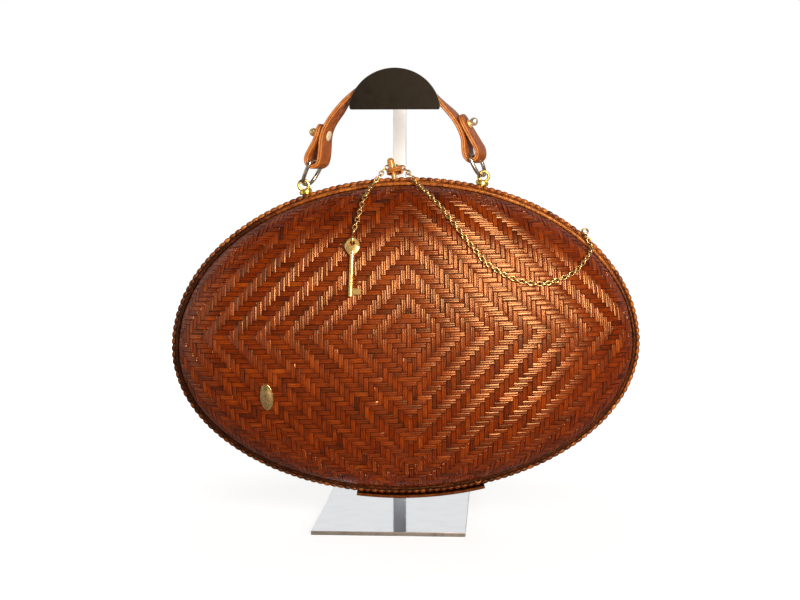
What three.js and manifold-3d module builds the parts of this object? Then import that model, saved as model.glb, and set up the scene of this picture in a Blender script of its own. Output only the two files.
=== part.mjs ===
// An oval clamshell handbag of woven rattan, hung by its leather handle on a steel display stand.
// Millimetres, +Z up, front towards -Y. The origin is on the underside of the stand's plate, below the
// middle of the bag, and the plane where the two halves of the bag meet is Y = 0.
import * as THREE from "three";
import { mergeVertices } from "three/addons/utils/BufferGeometryUtils.js";
import Module from "manifold-3d";

const wasm = await Module();
wasm.setup();

const { degToRad, smoothstep } = THREE.MathUtils;
const vec = (x, y, z) => new THREE.Vector3(x, y, z);
const FRONT = -1;
const BACK = 1;
const GAP = 0.3;

// The bag's outline: two half ellipses that meet at the widest row, hung a little right side up.
const BAG_HALF_WIDTH = 175;
const BAG_UPPER_RISE = 125.5;
const BAG_LOWER_DROP = 112;
const BAG_CENTRE_Z = 133.5;
const BAG_ROLL = degToRad(1.2);

// The rim's section: out is along the outline's normal, deep is away from the parting plane.
const RIM_SECTION = [
  { out: -6.2, deep: 0.25 },
  { out: -0.9, deep: 0.25 },
  { out: -0.2, deep: 1.2 },
  { out: -0.2, deep: 2.6 },
  { out: -1.2, deep: 3.8 },
  { out: -4.2, deep: 6.2 },
  { out: -6.2, deep: 6.5 },
];
const ROUND_STEPS = 72;

// The domes: their foot lies inside the rim, and their walls rise steeply from it.
const DOME_INSET = 6.6;
const DOME_BASE_DEEP = 6.5;
const DOME_DEPTH = 47;
const DOME_APEX_RISE = 7;
const DOME_EDGE_DEEP = 0.4;
const DOME_RINGS = 9;
const WALL = 2.5;

// The leather hinge strip, in two leaves that meet under the parting plane.
const HINGE_FROM_X = -38.8;
const HINGE_TO_X = 56.7;
const HINGE_SECTION = { inner: 0.1, outer: 2.4, near: 0.2, far: 7.2 };
const HINGE_STEPS = 14;

// Screw eyes on the back rim, and the D-rings that hang in them.
const LEFT_EYE_X = -71.5;
const RIGHT_EYE_X = 58.9;
const EYE_DEEP = 3.4;
const EYE = { radius: 3.75, wire: 0.85, centre: 6.4, neck: 1.1 };
const EYE_FLANGE = { radius: 3.6, top: 2.9, height: 1.8 };
const D_RING = { wire: 1, bar: 9.4, arm: 11.2, shoulder: 2.4, rise: 1, lift: 0.5 };

// The handle: a flat strap over the saddle, with its ends folded outwards round the D-rings.
// Each row is the middle of the strap's near edge, from the folded tip down and round the ring and up again.
const STRAP_WIDTH = 18;
const STRAP_THICK = 3.4;
const STRAP_NEAR_Y = -4.5;
const STRAP_TIP = 8;
const STRAP_TIP_FLAT = 0.6;
const STRAP_STEPS = 84;
const LEFT_FOLD = [
  { x: -64.6, z: 297.8 },
  { x: -66.0, z: 290.6 },
  { x: -67.9, z: 285.0 },
  { x: -71.2, z: 279.0 },
  { x: -73.9, z: 272.6 },
  { x: -73.0, z: 268.4 },
  { x: -69.6, z: 266.4 },
  { x: -65.8, z: 268.4 },
  { x: -64.2, z: 273.0 },
  { x: -63.5, z: 279.3 },
  { x: -63.0, z: 286.0 },
  { x: -61.1, z: 293.3 },
  { x: -55.4, z: 303.1 },
  { x: -46.2, z: 314.0 },
  { x: -36.2, z: 322.6 },
];
const RIGHT_FOLD = [
  { x: 38.6, z: 304.6 },
  { x: 42.2, z: 297.0 },
  { x: 45.0, z: 292.0 },
  { x: 48.2, z: 286.0 },
  { x: 52.0, z: 278.6 },
  { x: 51.6, z: 273.0 },
  { x: 47.6, z: 270.7 },
  { x: 43.8, z: 273.6 },
  { x: 42.4, z: 279.2 },
  { x: 41.9, z: 286.4 },
  { x: 39.6, z: 293.5 },
  { x: 36.4, z: 299.4 },
  { x: 31.8, z: 305.6 },
  { x: 26.9, z: 311.2 },
];
const STUD_ROW = 1;
const LOOP_ROW = 6;
const SADDLE_WRAP = [-34, -24, -12, 0, 12, 24, 36, 46];
const SADDLE_CLEARANCE = 0.4;
const STRAP_TWIST = [
  { turn: degToRad(15), belowZ: 322, over: 17 },
  { turn: degToRad(3.5), belowZ: 300, over: 20 },
];
const STUD = {
  ball: 3,
  neck: 1.3,
  shank: 1.5,
  flange: 2.3,
  flangeHeight: 0.8,
  base: 4.4,
  baseHeight: 1.1,
  reach: 3.6,
};

// The closure: a peg that leans on the top of the front rim, with a wound ring round it.
const PEG_FOOT = vec(-5.8, -6.6, 123.3);
const PEG_TOP = vec(-8.8, -4.0, 139.5);
const PEG_PROFILE = [
  { radius: 0, along: 0 },
  { radius: 1.7, along: 0 },
  { radius: 1.7, along: 0.3 },
  { radius: 2.55, along: 0.5 },
  { radius: 2.6, along: 0.85 },
  { radius: 1.9, along: 0.97 },
  { radius: 0, along: 1 },
];
const COLLAR = { inner: 4.35, outer: 6.15, height: 3.6, along: 0.4, shift: 1.5, chamfer: 0.6 };

// The chain's route over the front: rows with a lift lie that far off the dome, the others give their y.
const CHAIN_RADIUS = 1.15;
const CHAIN_STEPS = 76;
const CHAIN_ROUTE = [
  { x: -36.0, z: 84.6, lift: 3.6 },
  { x: -33.0, z: 94.4, lift: 2 },
  { x: -28.6, z: 107.8, lift: 1.6 },
  { x: -24.8, z: 114.8, lift: 1.6 },
  { x: -22.4, z: 118, lift: 1.7 },
  { x: -20, z: 122.6, y: -8.4 },
  { x: -16.5, z: 126.8, y: -5.6 },
  { x: -12.7, z: 131.4, y: -2.6 },
  { x: -7.8, z: 134.2, y: -0.4 },
  { x: -3.4, z: 133.9, y: 0.3 },
  { x: 0.4, z: 132.4, y: -0.1 },
  { x: 2.8, z: 130.4, y: -1.8 },
  { x: 5.4, z: 127.4, y: -5.2 },
  { x: 9.2, z: 122.4, y: -8.6 },
  { x: 11.6, z: 118, lift: 1.7 },
  { x: 15.4, z: 114.4, lift: 1.6 },
  { x: 23.3, z: 106.8, lift: 1.6 },
  { x: 37.2, z: 89.4, lift: 1.6 },
  { x: 48.3, z: 74.9, lift: 1.6 },
  { x: 58.7, z: 62.6, lift: 1.6 },
  { x: 72.9, z: 53, lift: 1.6 },
  { x: 85.1, z: 48.4, lift: 1.6 },
  { x: 99.7, z: 46.4, lift: 1.6 },
  { x: 111.7, z: 49.2, lift: 1.6 },
  { x: 123.1, z: 54, lift: 1.6 },
  { x: 131.3, z: 61.4, lift: 1.6 },
  { x: 136.2, z: 67.4, lift: 1.8 },
  { x: 138, z: 73, y: -9.4 },
  { x: 135.6, z: 78, y: -7.8 },
  { x: 134.7, z: 79.6, y: -6.9 },
];
const CHAIN_EYE = { x: 133.4, out: 1.6, deep: 5, radius: 2.1, wire: 0.55 };

// The key lies on the dome below the chain's end. Along is measured up the shaft from the key's middle.
const KEY_MIDDLE = { x: -37.5, z: 61.4, lift: 2.1 };
const KEY_LEAN = degToRad(2);
const KEY = { length: 43, shaft: 1.6, thick: 2.2 };
const KEY_BOW = { radius: 5.4, along: 15.3, point: 0.8, hole: 1.9, holeAlong: 17.4, overShaft: 1.2 };
const KEY_BIT = { reach: 7.6, height: 4.6, along: -17.6, thick: 1.7 };

const BOSS = { x: -101.3, z: -31.3, lift: 0.45, halfWidth: 5, halfHeight: 10, thick: 1.2, bevel: 0.5 };

// The stand: a plate, a bent bar behind the bag, and a half-round saddle with a front plate.
const STAND_X = -4.5;
const STAND_Y = 76;
const STAND_YAW = degToRad(3.5);
const PLATE = { width: 112, length: 175, thick: 3, frontY: -126.3, x: -0.8 };
const POST = { width: 10, thick: 6, top: 331.1, bend: 12, frontY: -82.9, bendSteps: 6 };
const HEAD_X = 2.3;
const HEAD_CENTRE_Z = 306.2;
const HEAD_PLATE = { radius: 32.6, thick: 2.5, frontY: -85.7, flatZ: 309.3, flatHalf: 29.5 };
const HEAD_ARC_FROM = degToRad(10);
const SADDLE = { radius: 28.3, thick: 2, length: 28, from: degToRad(20), overlap: 0.3 };

const FINISH = {
  rattan: { color: 0x8a4420, roughness: 0.4, metalness: 0 },
  wood: { color: 0xc07a2c, roughness: 0.45, metalness: 0 },
  leather: { color: 0xa8562a, roughness: 0.5, metalness: 0 },
  brass: { color: 0xb48a3c, roughness: 0.25, metalness: 1 },
  steel: { color: 0xc6c8ca, roughness: 0.2, metalness: 1 },
  bronze: { color: 0x3a3022, roughness: 0.4, metalness: 0.8 },
};

function piece(name, geometry, finish) {
  const mesh = new THREE.Mesh(geometry, new THREE.MeshStandardMaterial(FINISH[finish]));
  mesh.name = name;
  return mesh;
}

// A closed solid through rings of equally many points. A loop joins its last ring to its first,
// and any other has both ends closed by fans, to a given tip or to the middle of the end ring.
function skin(rings, { loop = false, tips = [] } = {}) {
  const count = rings[0].length;
  const points = rings.flat();
  const faces = [];
  const spans = loop ? rings.length : rings.length - 1;
  for (let i = 0; i < spans; i++) {
    const a = i * count;
    const b = ((i + 1) % rings.length) * count;
    for (let k = 0; k < count; k++) {
      const next = (k + 1) % count;
      faces.push([a + k, b + k, b + next], [a + k, b + next, a + next]);
    }
  }
  const ends = loop ? [] : [0, rings.length - 1];
  ends.forEach((row, end) => {
    const middle = vec(0, 0, 0);
    rings[row].forEach((p) => middle.addScaledVector(p, 1 / count));
    const hub = points.push(tips[end] ?? middle) - 1;
    for (let k = 0; k < count; k++) {
      const a = row * count + k;
      const b = row * count + ((k + 1) % count);
      faces.push(end ? [hub, b, a] : [hub, a, b]);
    }
  });
  const volume = faces.reduce((sum, [a, b, c]) => {
    const across = new THREE.Vector3().crossVectors(points[b], points[c]);
    return sum + points[a].dot(across);
  }, 0);
  const geometry = new THREE.BufferGeometry().setFromPoints(points);
  geometry.setIndex(faces.flatMap(([a, b, c]) => (volume > 0 ? [a, b, c] : [a, c, b])));
  return geometry;
}

function solid(geometry) {
  const bare = geometry.clone();
  bare.deleteAttribute("normal");
  bare.deleteAttribute("uv");
  const merged = mergeVertices(bare, 1e-4);
  const vertProperties = merged.attributes.position.array;
  const triVerts = new Uint32Array(merged.index.array);
  return new wasm.Manifold(new wasm.Mesh({ numProp: 3, vertProperties, triVerts }));
}

function geometryOf(manifold) {
  const { vertProperties, triVerts } = manifold.getMesh();
  const geometry = new THREE.BufferGeometry();
  geometry.setAttribute("position", new THREE.BufferAttribute(vertProperties, 3));
  geometry.setIndex(new THREE.BufferAttribute(triVerts, 1));
  return geometry;
}

function ovalPoints(halfWidth, halfHeight, count) {
  return Array.from({ length: count }, (_, k) => {
    const turn = (2 * Math.PI * k) / count;
    return new THREE.Vector2(halfWidth * Math.cos(turn), halfHeight * Math.sin(turn));
  });
}

function join(...geometries) {
  return geometryOf(geometries.map(solid).reduce((whole, next) => whole.add(next)));
}

// A round wire along a closed row of points that lie in the plane square to normal.
function closedWire(points, normal, radius, sides = 8) {
  const rings = points.map((p, i) => {
    const ahead = points[(i + 1) % points.length];
    const behind = points[(i + points.length - 1) % points.length];
    const across = new THREE.Vector3().crossVectors(normal, ahead.clone().sub(behind)).normalize();
    return Array.from({ length: sides }, (_, k) => {
      const turn = (2 * Math.PI * k) / sides;
      const out = p.clone().addScaledVector(across, radius * Math.cos(turn));
      return out.addScaledVector(normal, radius * Math.sin(turn));
    });
  });
  return skin(rings, { loop: true });
}

// The outline of the bag in its own frame, with its outward normal.
function outline(angle) {
  const rise = Math.sin(angle) >= 0 ? BAG_UPPER_RISE : BAG_LOWER_DROP;
  const point = vec(BAG_HALF_WIDTH * Math.cos(angle), 0, rise * Math.sin(angle));
  const normal = vec(Math.cos(angle) / BAG_HALF_WIDTH, 0, Math.sin(angle) / rise).normalize();
  return { point, normal };
}

const upperAngle = (x) => Math.acos(x / BAG_HALF_WIDTH);
const lowerAngle = (x) => -Math.acos(x / BAG_HALF_WIDTH);

function makeRim(name, side) {
  const rings = Array.from({ length: ROUND_STEPS }, (_, i) => {
    const { point, normal } = outline((2 * Math.PI * i) / ROUND_STEPS);
    return RIM_SECTION.map(({ out, deep }) => {
      const p = point.clone().addScaledVector(normal, out);
      p.y = side * deep;
      return p;
    });
  });
  return piece(name, skin(rings, { loop: true }), "rattan");
}

// One ring of a dome's surface, inset from the rim, at a share of the way out from the apex.
function domeRing(side, inset, share, deep) {
  return Array.from({ length: ROUND_STEPS }, (_, i) => {
    const angle = (2 * Math.PI * i) / ROUND_STEPS;
    const rise = (Math.sin(angle) >= 0 ? BAG_UPPER_RISE : BAG_LOWER_DROP) - inset;
    const x = (BAG_HALF_WIDTH - inset) * Math.cos(angle) * share;
    const z = DOME_APEX_RISE + (rise * Math.sin(angle) - DOME_APEX_RISE) * share;
    return vec(x, side * deep, z);
  });
}

function makeShell(name, side) {
  const surface = (inset, depth) => {
    const rings = Array.from({ length: DOME_RINGS }, (_, i) => {
      const turn = ((i + 1) / DOME_RINGS) * (Math.PI / 2);
      return domeRing(side, inset, Math.sin(turn), DOME_BASE_DEEP + depth * Math.cos(turn));
    });
    rings.push(domeRing(side, inset, 1, DOME_EDGE_DEEP));
    return rings;
  };
  const outer = surface(DOME_INSET, DOME_DEPTH);
  const inner = surface(DOME_INSET + WALL, DOME_DEPTH - WALL).reverse();
  const outerTip = vec(0, side * (DOME_BASE_DEEP + DOME_DEPTH), DOME_APEX_RISE);
  const innerTip = vec(0, side * (DOME_BASE_DEEP + DOME_DEPTH - WALL), DOME_APEX_RISE);
  return piece(name, skin([...outer, ...inner], { tips: [outerTip, innerTip] }), "rattan");
}

// How far the front dome's outer surface stands from the parting plane above a point of it.
function domeDeep(x, z) {
  const dz = z - DOME_APEX_RISE;
  const halfWidth = BAG_HALF_WIDTH - DOME_INSET;
  const shareFor = (rise) => {
    const a = (x / halfWidth) ** 2 + (dz / rise) ** 2;
    const b = (2 * DOME_APEX_RISE * dz) / rise ** 2;
    const c = (DOME_APEX_RISE / rise) ** 2 - 1;
    return (2 * a) / (-b + Math.sqrt(b * b - 4 * a * c));
  };
  const upper = shareFor(BAG_UPPER_RISE - DOME_INSET);
  const above = DOME_APEX_RISE * upper + dz >= 0;
  const share = above ? upper : shareFor(BAG_LOWER_DROP - DOME_INSET);
  return DOME_BASE_DEEP + DOME_DEPTH * Math.sqrt(Math.max(0, 1 - share * share));
}

// A point of the front dome, lifted off it along its normal, with the normal.
function onDome({ x, z, lift }) {
  const step = 0.2;
  const slopeX = (domeDeep(x + step, z) - domeDeep(x - step, z)) / (2 * step);
  const slopeZ = (domeDeep(x, z + step) - domeDeep(x, z - step)) / (2 * step);
  const normal = vec(-slopeX, -1, -slopeZ).normalize();
  const point = vec(x, -domeDeep(x, z), z).addScaledVector(normal, lift);
  return { point, normal };
}

// Turns a mesh whose local Z stands off the dome and whose local Y points up it, and seats it there.
function seatOnDome(mesh, place, lean = 0) {
  const { point, normal } = onDome(place);
  const up = vec(Math.sin(lean), 0, Math.cos(lean));
  up.addScaledVector(normal, -up.dot(normal)).normalize();
  const right = new THREE.Vector3().crossVectors(up, normal);
  mesh.quaternion.setFromRotationMatrix(new THREE.Matrix4().makeBasis(right, up, normal));
  mesh.position.copy(point);
  return mesh;
}

function makeHingeLeaf(name, side) {
  const { inner, outer, near, far } = HINGE_SECTION;
  const corners = [
    [inner, near],
    [outer, near],
    [outer, far],
    [inner, far],
  ];
  const rings = Array.from({ length: HINGE_STEPS + 1 }, (_, i) => {
    const x = HINGE_FROM_X + ((HINGE_TO_X - HINGE_FROM_X) * i) / HINGE_STEPS;
    const { point, normal } = outline(lowerAngle(x));
    return corners.map(([out, deep]) => {
      const p = point.clone().addScaledVector(normal, out);
      p.y = side * deep;
      return p;
    });
  });
  return piece(name, skin(rings), "leather");
}

// A screw eye: a flange on the rim, a short neck and a closed ring that faces the front.
function makeEye(name, x) {
  const { radius, wire, centre, neck } = EYE;
  const flange = new THREE.CylinderGeometry(EYE_FLANGE.top, EYE_FLANGE.radius, EYE_FLANGE.height, 20);
  flange.translate(0, EYE_FLANGE.height / 2, 0);
  const neckHeight = centre - radius;
  const stem = new THREE.CylinderGeometry(neck, neck, neckHeight, 12).translate(0, neckHeight / 2, 0);
  const ring = new THREE.TorusGeometry(radius, wire, 8, 24).translate(0, centre, 0);
  const mesh = piece(name, join(flange, stem, ring).rotateX(Math.PI / 2), "brass");
  const { point, normal } = outline(upperAngle(x));
  mesh.position.copy(point).addScaledVector(normal, GAP + RIM_SECTION[2].out);
  mesh.position.y = EYE_DEEP;
  mesh.rotation.y = Math.atan2(normal.x, normal.z);
  return mesh;
}

function eyeCentre(x) {
  const { point, normal } = outline(upperAngle(x));
  const centre = point.addScaledVector(normal, GAP + RIM_SECTION[2].out + EYE.centre);
  centre.y = EYE_DEEP;
  return centre.applyAxisAngle(vec(0, 1, 0), -BAG_ROLL).add(vec(0, 0, BAG_CENTRE_Z));
}

// The strap hangs straight on the saddle and turns its far edge to the right below it.
function strapAcross(z) {
  const twist = STRAP_TWIST.reduce(
    (sum, { turn, belowZ, over }) => sum + turn * smoothstep(belowZ - z, 0, over),
    STAND_YAW,
  );
  return vec(Math.sin(twist), Math.cos(twist), 0);
}

const saddleX = STAND_X + HEAD_X - Math.tan(STAND_YAW) * (STAND_Y - STRAP_NEAR_Y);
const saddleArc = SADDLE_WRAP.map((degrees) => {
  const radius = SADDLE.radius + SADDLE_CLEARANCE + STRAP_THICK / 2;
  const turn = degToRad(degrees);
  return { x: saddleX + radius * Math.sin(turn), z: HEAD_CENTRE_Z + radius * Math.cos(turn) };
});
const strapRows = [...LEFT_FOLD, ...saddleArc, ...RIGHT_FOLD.toReversed()];
const strapCurve = new THREE.CatmullRomCurve3(strapRows.map(({ x, z }) => vec(x, STRAP_NEAR_Y, z)));

// A place on the strap's folded end, with the direction that points out of the fold.
function studSeat(row) {
  const at = row / (strapRows.length - 1);
  const across = strapAcross(strapRows[row].z);
  const along = strapCurve.getTangent(at);
  const out = new THREE.Vector3().crossVectors(across, along).normalize();
  const seat = strapCurve.getPoint(at).addScaledVector(across, STRAP_WIDTH / 2);
  return { seat: seat.addScaledVector(out, STRAP_THICK / 2 + GAP), out };
}

function makeStrap(studs) {
  const rings = strapCurve.getSpacedPoints(STRAP_STEPS).map((p, i) => {
    const along = strapCurve.getTangentAt(i / STRAP_STEPS);
    const up = vec(-along.z, 0, along.x);
    const fromTip = (Math.min(i, STRAP_STEPS - i) / STRAP_STEPS) * strapCurve.getLength();
    const round = Math.sqrt(1 - Math.max(0, 1 - (fromTip + STRAP_TIP_FLAT) / STRAP_TIP) ** 2);
    const across = strapAcross(p.z);
    const middle = p.clone().addScaledVector(across, STRAP_WIDTH / 2);
    return [
      [-1, -1],
      [1, -1],
      [1, 1],
      [-1, 1],
    ].map(([w, t]) => {
      const corner = middle.clone().addScaledVector(across, (w * round * STRAP_WIDTH) / 2);
      return corner.addScaledVector(up, (t * STRAP_THICK) / 2);
    });
  });
  const drillRadius = STUD.shank + GAP;
  const drillLength = 6 * STRAP_THICK;
  const drills = studs.map(({ seat, out }) => {
    const drill = new THREE.CylinderGeometry(drillRadius, drillRadius, drillLength, 12);
    drill.applyQuaternion(new THREE.Quaternion().setFromUnitVectors(vec(0, 1, 0), out));
    return solid(drill.translate(seat.x, seat.y, seat.z));
  });
  const strap = drills.reduce((rest, drill) => rest.subtract(drill), solid(skin(rings)));
  return piece("handle_strap", geometryOf(strap), "leather");
}

// A ball stud: a base inside the strap, a shank through both layers, and a ball on a neck outside.
function makeStud(name, { seat, out }) {
  const through = -(2 * STRAP_THICK + 4 * GAP);
  const ballCentre = STUD.reach + Math.sqrt(STUD.ball ** 2 - STUD.neck ** 2) - STUD.ball / 2;
  const profile = [
    [0, through - STUD.baseHeight],
    [STUD.base, through - STUD.baseHeight],
    [STUD.base, through],
    [STUD.shank, through],
    [STUD.shank, 0],
    [STUD.flange, 0],
    [STUD.flange, STUD.flangeHeight],
    [STUD.neck, STUD.flangeHeight],
  ];
  const start = Math.asin(STUD.neck / STUD.ball);
  const ballSteps = 7;
  for (let i = 0; i <= ballSteps; i++) {
    const turn = (Math.PI - start) * (1 - i / ballSteps);
    const radius = i < ballSteps ? STUD.ball * Math.sin(turn) : 0;
    profile.push([radius, ballCentre + STUD.ball * Math.cos(turn)]);
  }
  const points = profile.map(([radius, height]) => new THREE.Vector2(radius, height));
  const mesh = piece(name, new THREE.LatheGeometry(points, 16), "brass");
  mesh.quaternion.setFromUnitVectors(vec(0, 1, 0), out);
  mesh.position.copy(seat);
  return mesh;
}

// A D-ring: its bar lies in the fold of the strap, and its bow hangs in the screw eye.
function makeDRing(name, row, eyeX) {
  const { wire, bar, arm, shoulder, rise, lift } = D_RING;
  const { x, z } = strapRows[row];
  const across = strapAcross(z);
  const barMiddle = vec(x, STRAP_NEAR_Y, z + STRAP_THICK / 2 + lift + wire);
  barMiddle.addScaledVector(across, STRAP_WIDTH / 2);
  const centre = eyeCentre(eyeX);
  const bottom = centre.addScaledVector(barMiddle.clone().sub(centre).normalize(), rise);
  const drop = bottom.sub(barMiddle);
  const length = drop.length();
  const normal = new THREE.Vector3().crossVectors(across, drop).normalize();
  const down = new THREE.Vector3().crossVectors(normal, across).normalize();
  const place = (u, v) => barMiddle.clone().addScaledVector(across, u).addScaledVector(down, v);
  const guide = [place(-bar, 0), place(-bar / 3, 0), place(bar / 3, 0), place(bar, 0)];
  const bowSteps = 8;
  for (let i = 0; i <= bowSteps; i++) {
    const turn = (Math.PI * i) / bowSteps;
    guide.push(place(arm * Math.cos(turn), shoulder + (length - shoulder) * Math.sin(turn)));
  }
  const path = new THREE.CatmullRomCurve3(guide, true).getSpacedPoints(40).slice(0, -1);
  return piece(name, closedWire(path, normal, wire), "steel");
}

function makePeg() {
  const axis = PEG_TOP.clone().sub(PEG_FOOT);
  const length = axis.length();
  const points = PEG_PROFILE.map(({ radius, along }) => new THREE.Vector2(radius, along * length));
  const mesh = piece("closure_peg", new THREE.LatheGeometry(points, 16), "wood");
  mesh.quaternion.setFromUnitVectors(vec(0, 1, 0), axis.normalize());
  mesh.position.copy(PEG_FOOT);
  return mesh;
}

function makeCollar() {
  const { inner, outer, height, along, shift, chamfer } = COLLAR;
  const half = height / 2;
  const profile = [
    [inner, -half + chamfer],
    [inner + chamfer, -half],
    [outer - chamfer, -half],
    [outer, -half + chamfer],
    [outer, half - chamfer],
    [outer - chamfer, half],
    [inner + chamfer, half],
    [inner, half - chamfer],
    [inner, -half + chamfer],
  ].map(([radius, up]) => new THREE.Vector2(radius, up));
  const mesh = piece("peg_collar", new THREE.LatheGeometry(profile, 24), "rattan");
  const axis = PEG_TOP.clone().sub(PEG_FOOT);
  mesh.position.copy(PEG_FOOT).addScaledVector(axis, along);
  mesh.quaternion.setFromUnitVectors(vec(0, 1, 0), axis.normalize());
  mesh.position.addScaledVector(vec(axis.z, 0, -axis.x).normalize(), shift);
  return mesh;
}

function makeChain() {
  const rows = CHAIN_ROUTE.map((row) => ("lift" in row ? onDome(row).point : vec(row.x, row.y, row.z)));
  const section = new THREE.Shape(ovalPoints(CHAIN_RADIUS, CHAIN_RADIUS, 8));
  const extrudePath = new THREE.CatmullRomCurve3(rows);
  const tube = new THREE.ExtrudeGeometry(section, { steps: CHAIN_STEPS, extrudePath });
  return piece("chain", tube, "brass");
}

function makeChainEye() {
  const { x, out, deep, radius, wire } = CHAIN_EYE;
  const ring = new THREE.TorusGeometry(radius, wire, 8, 16).rotateX(Math.PI / 2);
  const mesh = piece("chain_eye", ring, "brass");
  const { point, normal } = outline(upperAngle(x));
  mesh.position.copy(point).addScaledVector(normal, out);
  mesh.position.y = FRONT * deep;
  return mesh;
}

function makeKey() {
  const { length, shaft, thick } = KEY;
  const { radius, along, point, hole, holeAlong, overShaft } = KEY_BOW;
  const bowOutline = ovalPoints(radius, radius, 28).map((p) => {
    const peak = point * Math.max(0, p.y / radius) ** 5;
    return new THREE.Vector2(p.x, along + p.y + peak);
  });
  const bowShape = new THREE.Shape(bowOutline);
  const holeOutline = ovalPoints(hole, hole, 14).map((p) => new THREE.Vector2(p.x, holeAlong + p.y));
  bowShape.holes.push(new THREE.Path(holeOutline));
  const plate = { depth: thick, bevelEnabled: false };
  const bowPlate = new THREE.ExtrudeGeometry(bowShape, plate).translate(0, 0, -thick / 2);
  const shaftTop = along - radius + overShaft;
  const shaftLength = shaftTop + length / 2;
  const rod = new THREE.CylinderGeometry(shaft, shaft, shaftLength, 14);
  rod.translate(0, shaftTop - shaftLength / 2, 0);
  const bit = new THREE.BoxGeometry(KEY_BIT.reach, KEY_BIT.height, KEY_BIT.thick);
  bit.translate(KEY_BIT.reach / 2, KEY_BIT.along, 0);
  return seatOnDome(piece("key", join(bowPlate, rod, bit), "brass"), KEY_MIDDLE, KEY_LEAN);
}

function makeBoss() {
  const { halfWidth, halfHeight, thick, bevel } = BOSS;
  const oval = new THREE.Shape(ovalPoints(halfWidth - bevel, halfHeight - bevel, 24));
  const plate = new THREE.ExtrudeGeometry(oval, {
    depth: thick - bevel,
    bevelSize: bevel,
    bevelThickness: bevel / 2,
    bevelSegments: 1,
  });
  return seatOnDome(piece("oval_boss", plate.translate(0, 0, bevel / 2), "brass"), BOSS);
}

function makePlate() {
  const { width, length, thick, frontY, x } = PLATE;
  const mesh = piece("stand_base", new THREE.BoxGeometry(width, length, thick), "steel");
  mesh.position.set(x, frontY + length / 2, thick / 2);
  return mesh;
}

function makePost() {
  const { width, thick, top, bend, frontY, bendSteps } = POST;
  const middleZ = top - thick / 2;
  const path = [{ y: 0, z: PLATE.thick + GAP, turn: 0 }];
  for (let i = 0; i <= bendSteps; i++) {
    const turn = ((Math.PI / 2) * i) / bendSteps;
    path.push({ y: -bend * (1 - Math.cos(turn)), z: middleZ - bend * (1 - Math.sin(turn)), turn });
  }
  path.push({ y: frontY, z: middleZ, turn: Math.PI / 2 });
  const rings = path.map(({ y, z, turn }) => {
    const across = vec(0, Math.cos(turn), Math.sin(turn)).multiplyScalar(thick / 2);
    const middle = vec(0, y, z);
    const side = vec(width / 2, 0, 0);
    return [
      middle.clone().add(side).add(across),
      middle.clone().add(side).sub(across),
      middle.clone().sub(side).sub(across),
      middle.clone().sub(side).add(across),
    ];
  });
  return piece("stand_post", skin(rings), "steel");
}

function makeHead() {
  const { radius, thick, frontY, flatZ, flatHalf } = HEAD_PLATE;
  const front = new THREE.Shape();
  const shoulderX = radius * Math.cos(HEAD_ARC_FROM);
  const shoulderZ = HEAD_CENTRE_Z + radius * Math.sin(HEAD_ARC_FROM);
  front.moveTo(-flatHalf, flatZ);
  front.lineTo(flatHalf, flatZ);
  front.quadraticCurveTo(shoulderX, flatZ, shoulderX, shoulderZ);
  front.absarc(0, HEAD_CENTRE_Z, radius, HEAD_ARC_FROM, Math.PI - HEAD_ARC_FROM, false);
  front.quadraticCurveTo(-shoulderX, flatZ, -flatHalf, flatZ);
  const plain = { bevelEnabled: false, curveSegments: 24 };
  const disc = new THREE.ExtrudeGeometry(front, { ...plain, depth: thick }).rotateX(Math.PI / 2);
  disc.translate(0, frontY + thick, 0);
  const band = new THREE.Shape();
  band.absarc(0, HEAD_CENTRE_Z, SADDLE.radius, SADDLE.from, Math.PI - SADDLE.from, false);
  band.absarc(0, HEAD_CENTRE_Z, SADDLE.radius - SADDLE.thick, Math.PI - SADDLE.from, SADDLE.from, true);
  const sheet = new THREE.ExtrudeGeometry(band, { ...plain, depth: SADDLE.length }).rotateX(Math.PI / 2);
  sheet.translate(0, frontY + thick - SADDLE.overlap + SADDLE.length, 0);
  const mesh = piece("stand_head", join(disc, sheet), "bronze");
  mesh.position.x = HEAD_X;
  return mesh;
}

const bag = new THREE.Group();
bag.position.z = BAG_CENTRE_Z;
bag.rotation.y = -BAG_ROLL;
bag.add(makeShell("back_shell", BACK));
bag.add(makeRim("back_rim", BACK));
bag.add(makeHingeLeaf("back_hinge_leaf", BACK));
bag.add(makeShell("front_shell", FRONT));
bag.add(makeRim("front_rim", FRONT));
bag.add(makeHingeLeaf("front_hinge_leaf", FRONT));
bag.add(makeEye("left_eye", LEFT_EYE_X));
bag.add(makeEye("right_eye", RIGHT_EYE_X));
bag.add(makePeg());
bag.add(makeCollar());
bag.add(makeChain());
bag.add(makeChainEye());
bag.add(makeKey());
bag.add(makeBoss());

const handle = new THREE.Group();
const leftStud = studSeat(STUD_ROW);
const rightStud = studSeat(strapRows.length - 1 - STUD_ROW);
handle.add(makeStrap([leftStud, rightStud]));
handle.add(makeStud("left_stud", leftStud));
handle.add(makeStud("right_stud", rightStud));
handle.add(makeDRing("left_ring", LOOP_ROW, LEFT_EYE_X));
handle.add(makeDRing("right_ring", strapRows.length - 1 - LOOP_ROW, RIGHT_EYE_X));

const stand = new THREE.Group();
stand.position.set(STAND_X, STAND_Y, 0);
stand.rotation.z = -STAND_YAW;
stand.add(makePlate());
stand.add(makePost());
stand.add(makeHead());

const handbag = new THREE.Group();
handbag.add(bag, handle, stand);
export default handbag;
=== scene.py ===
import math

import bpy
import numpy as np
from mathutils import Matrix, Vector


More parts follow.
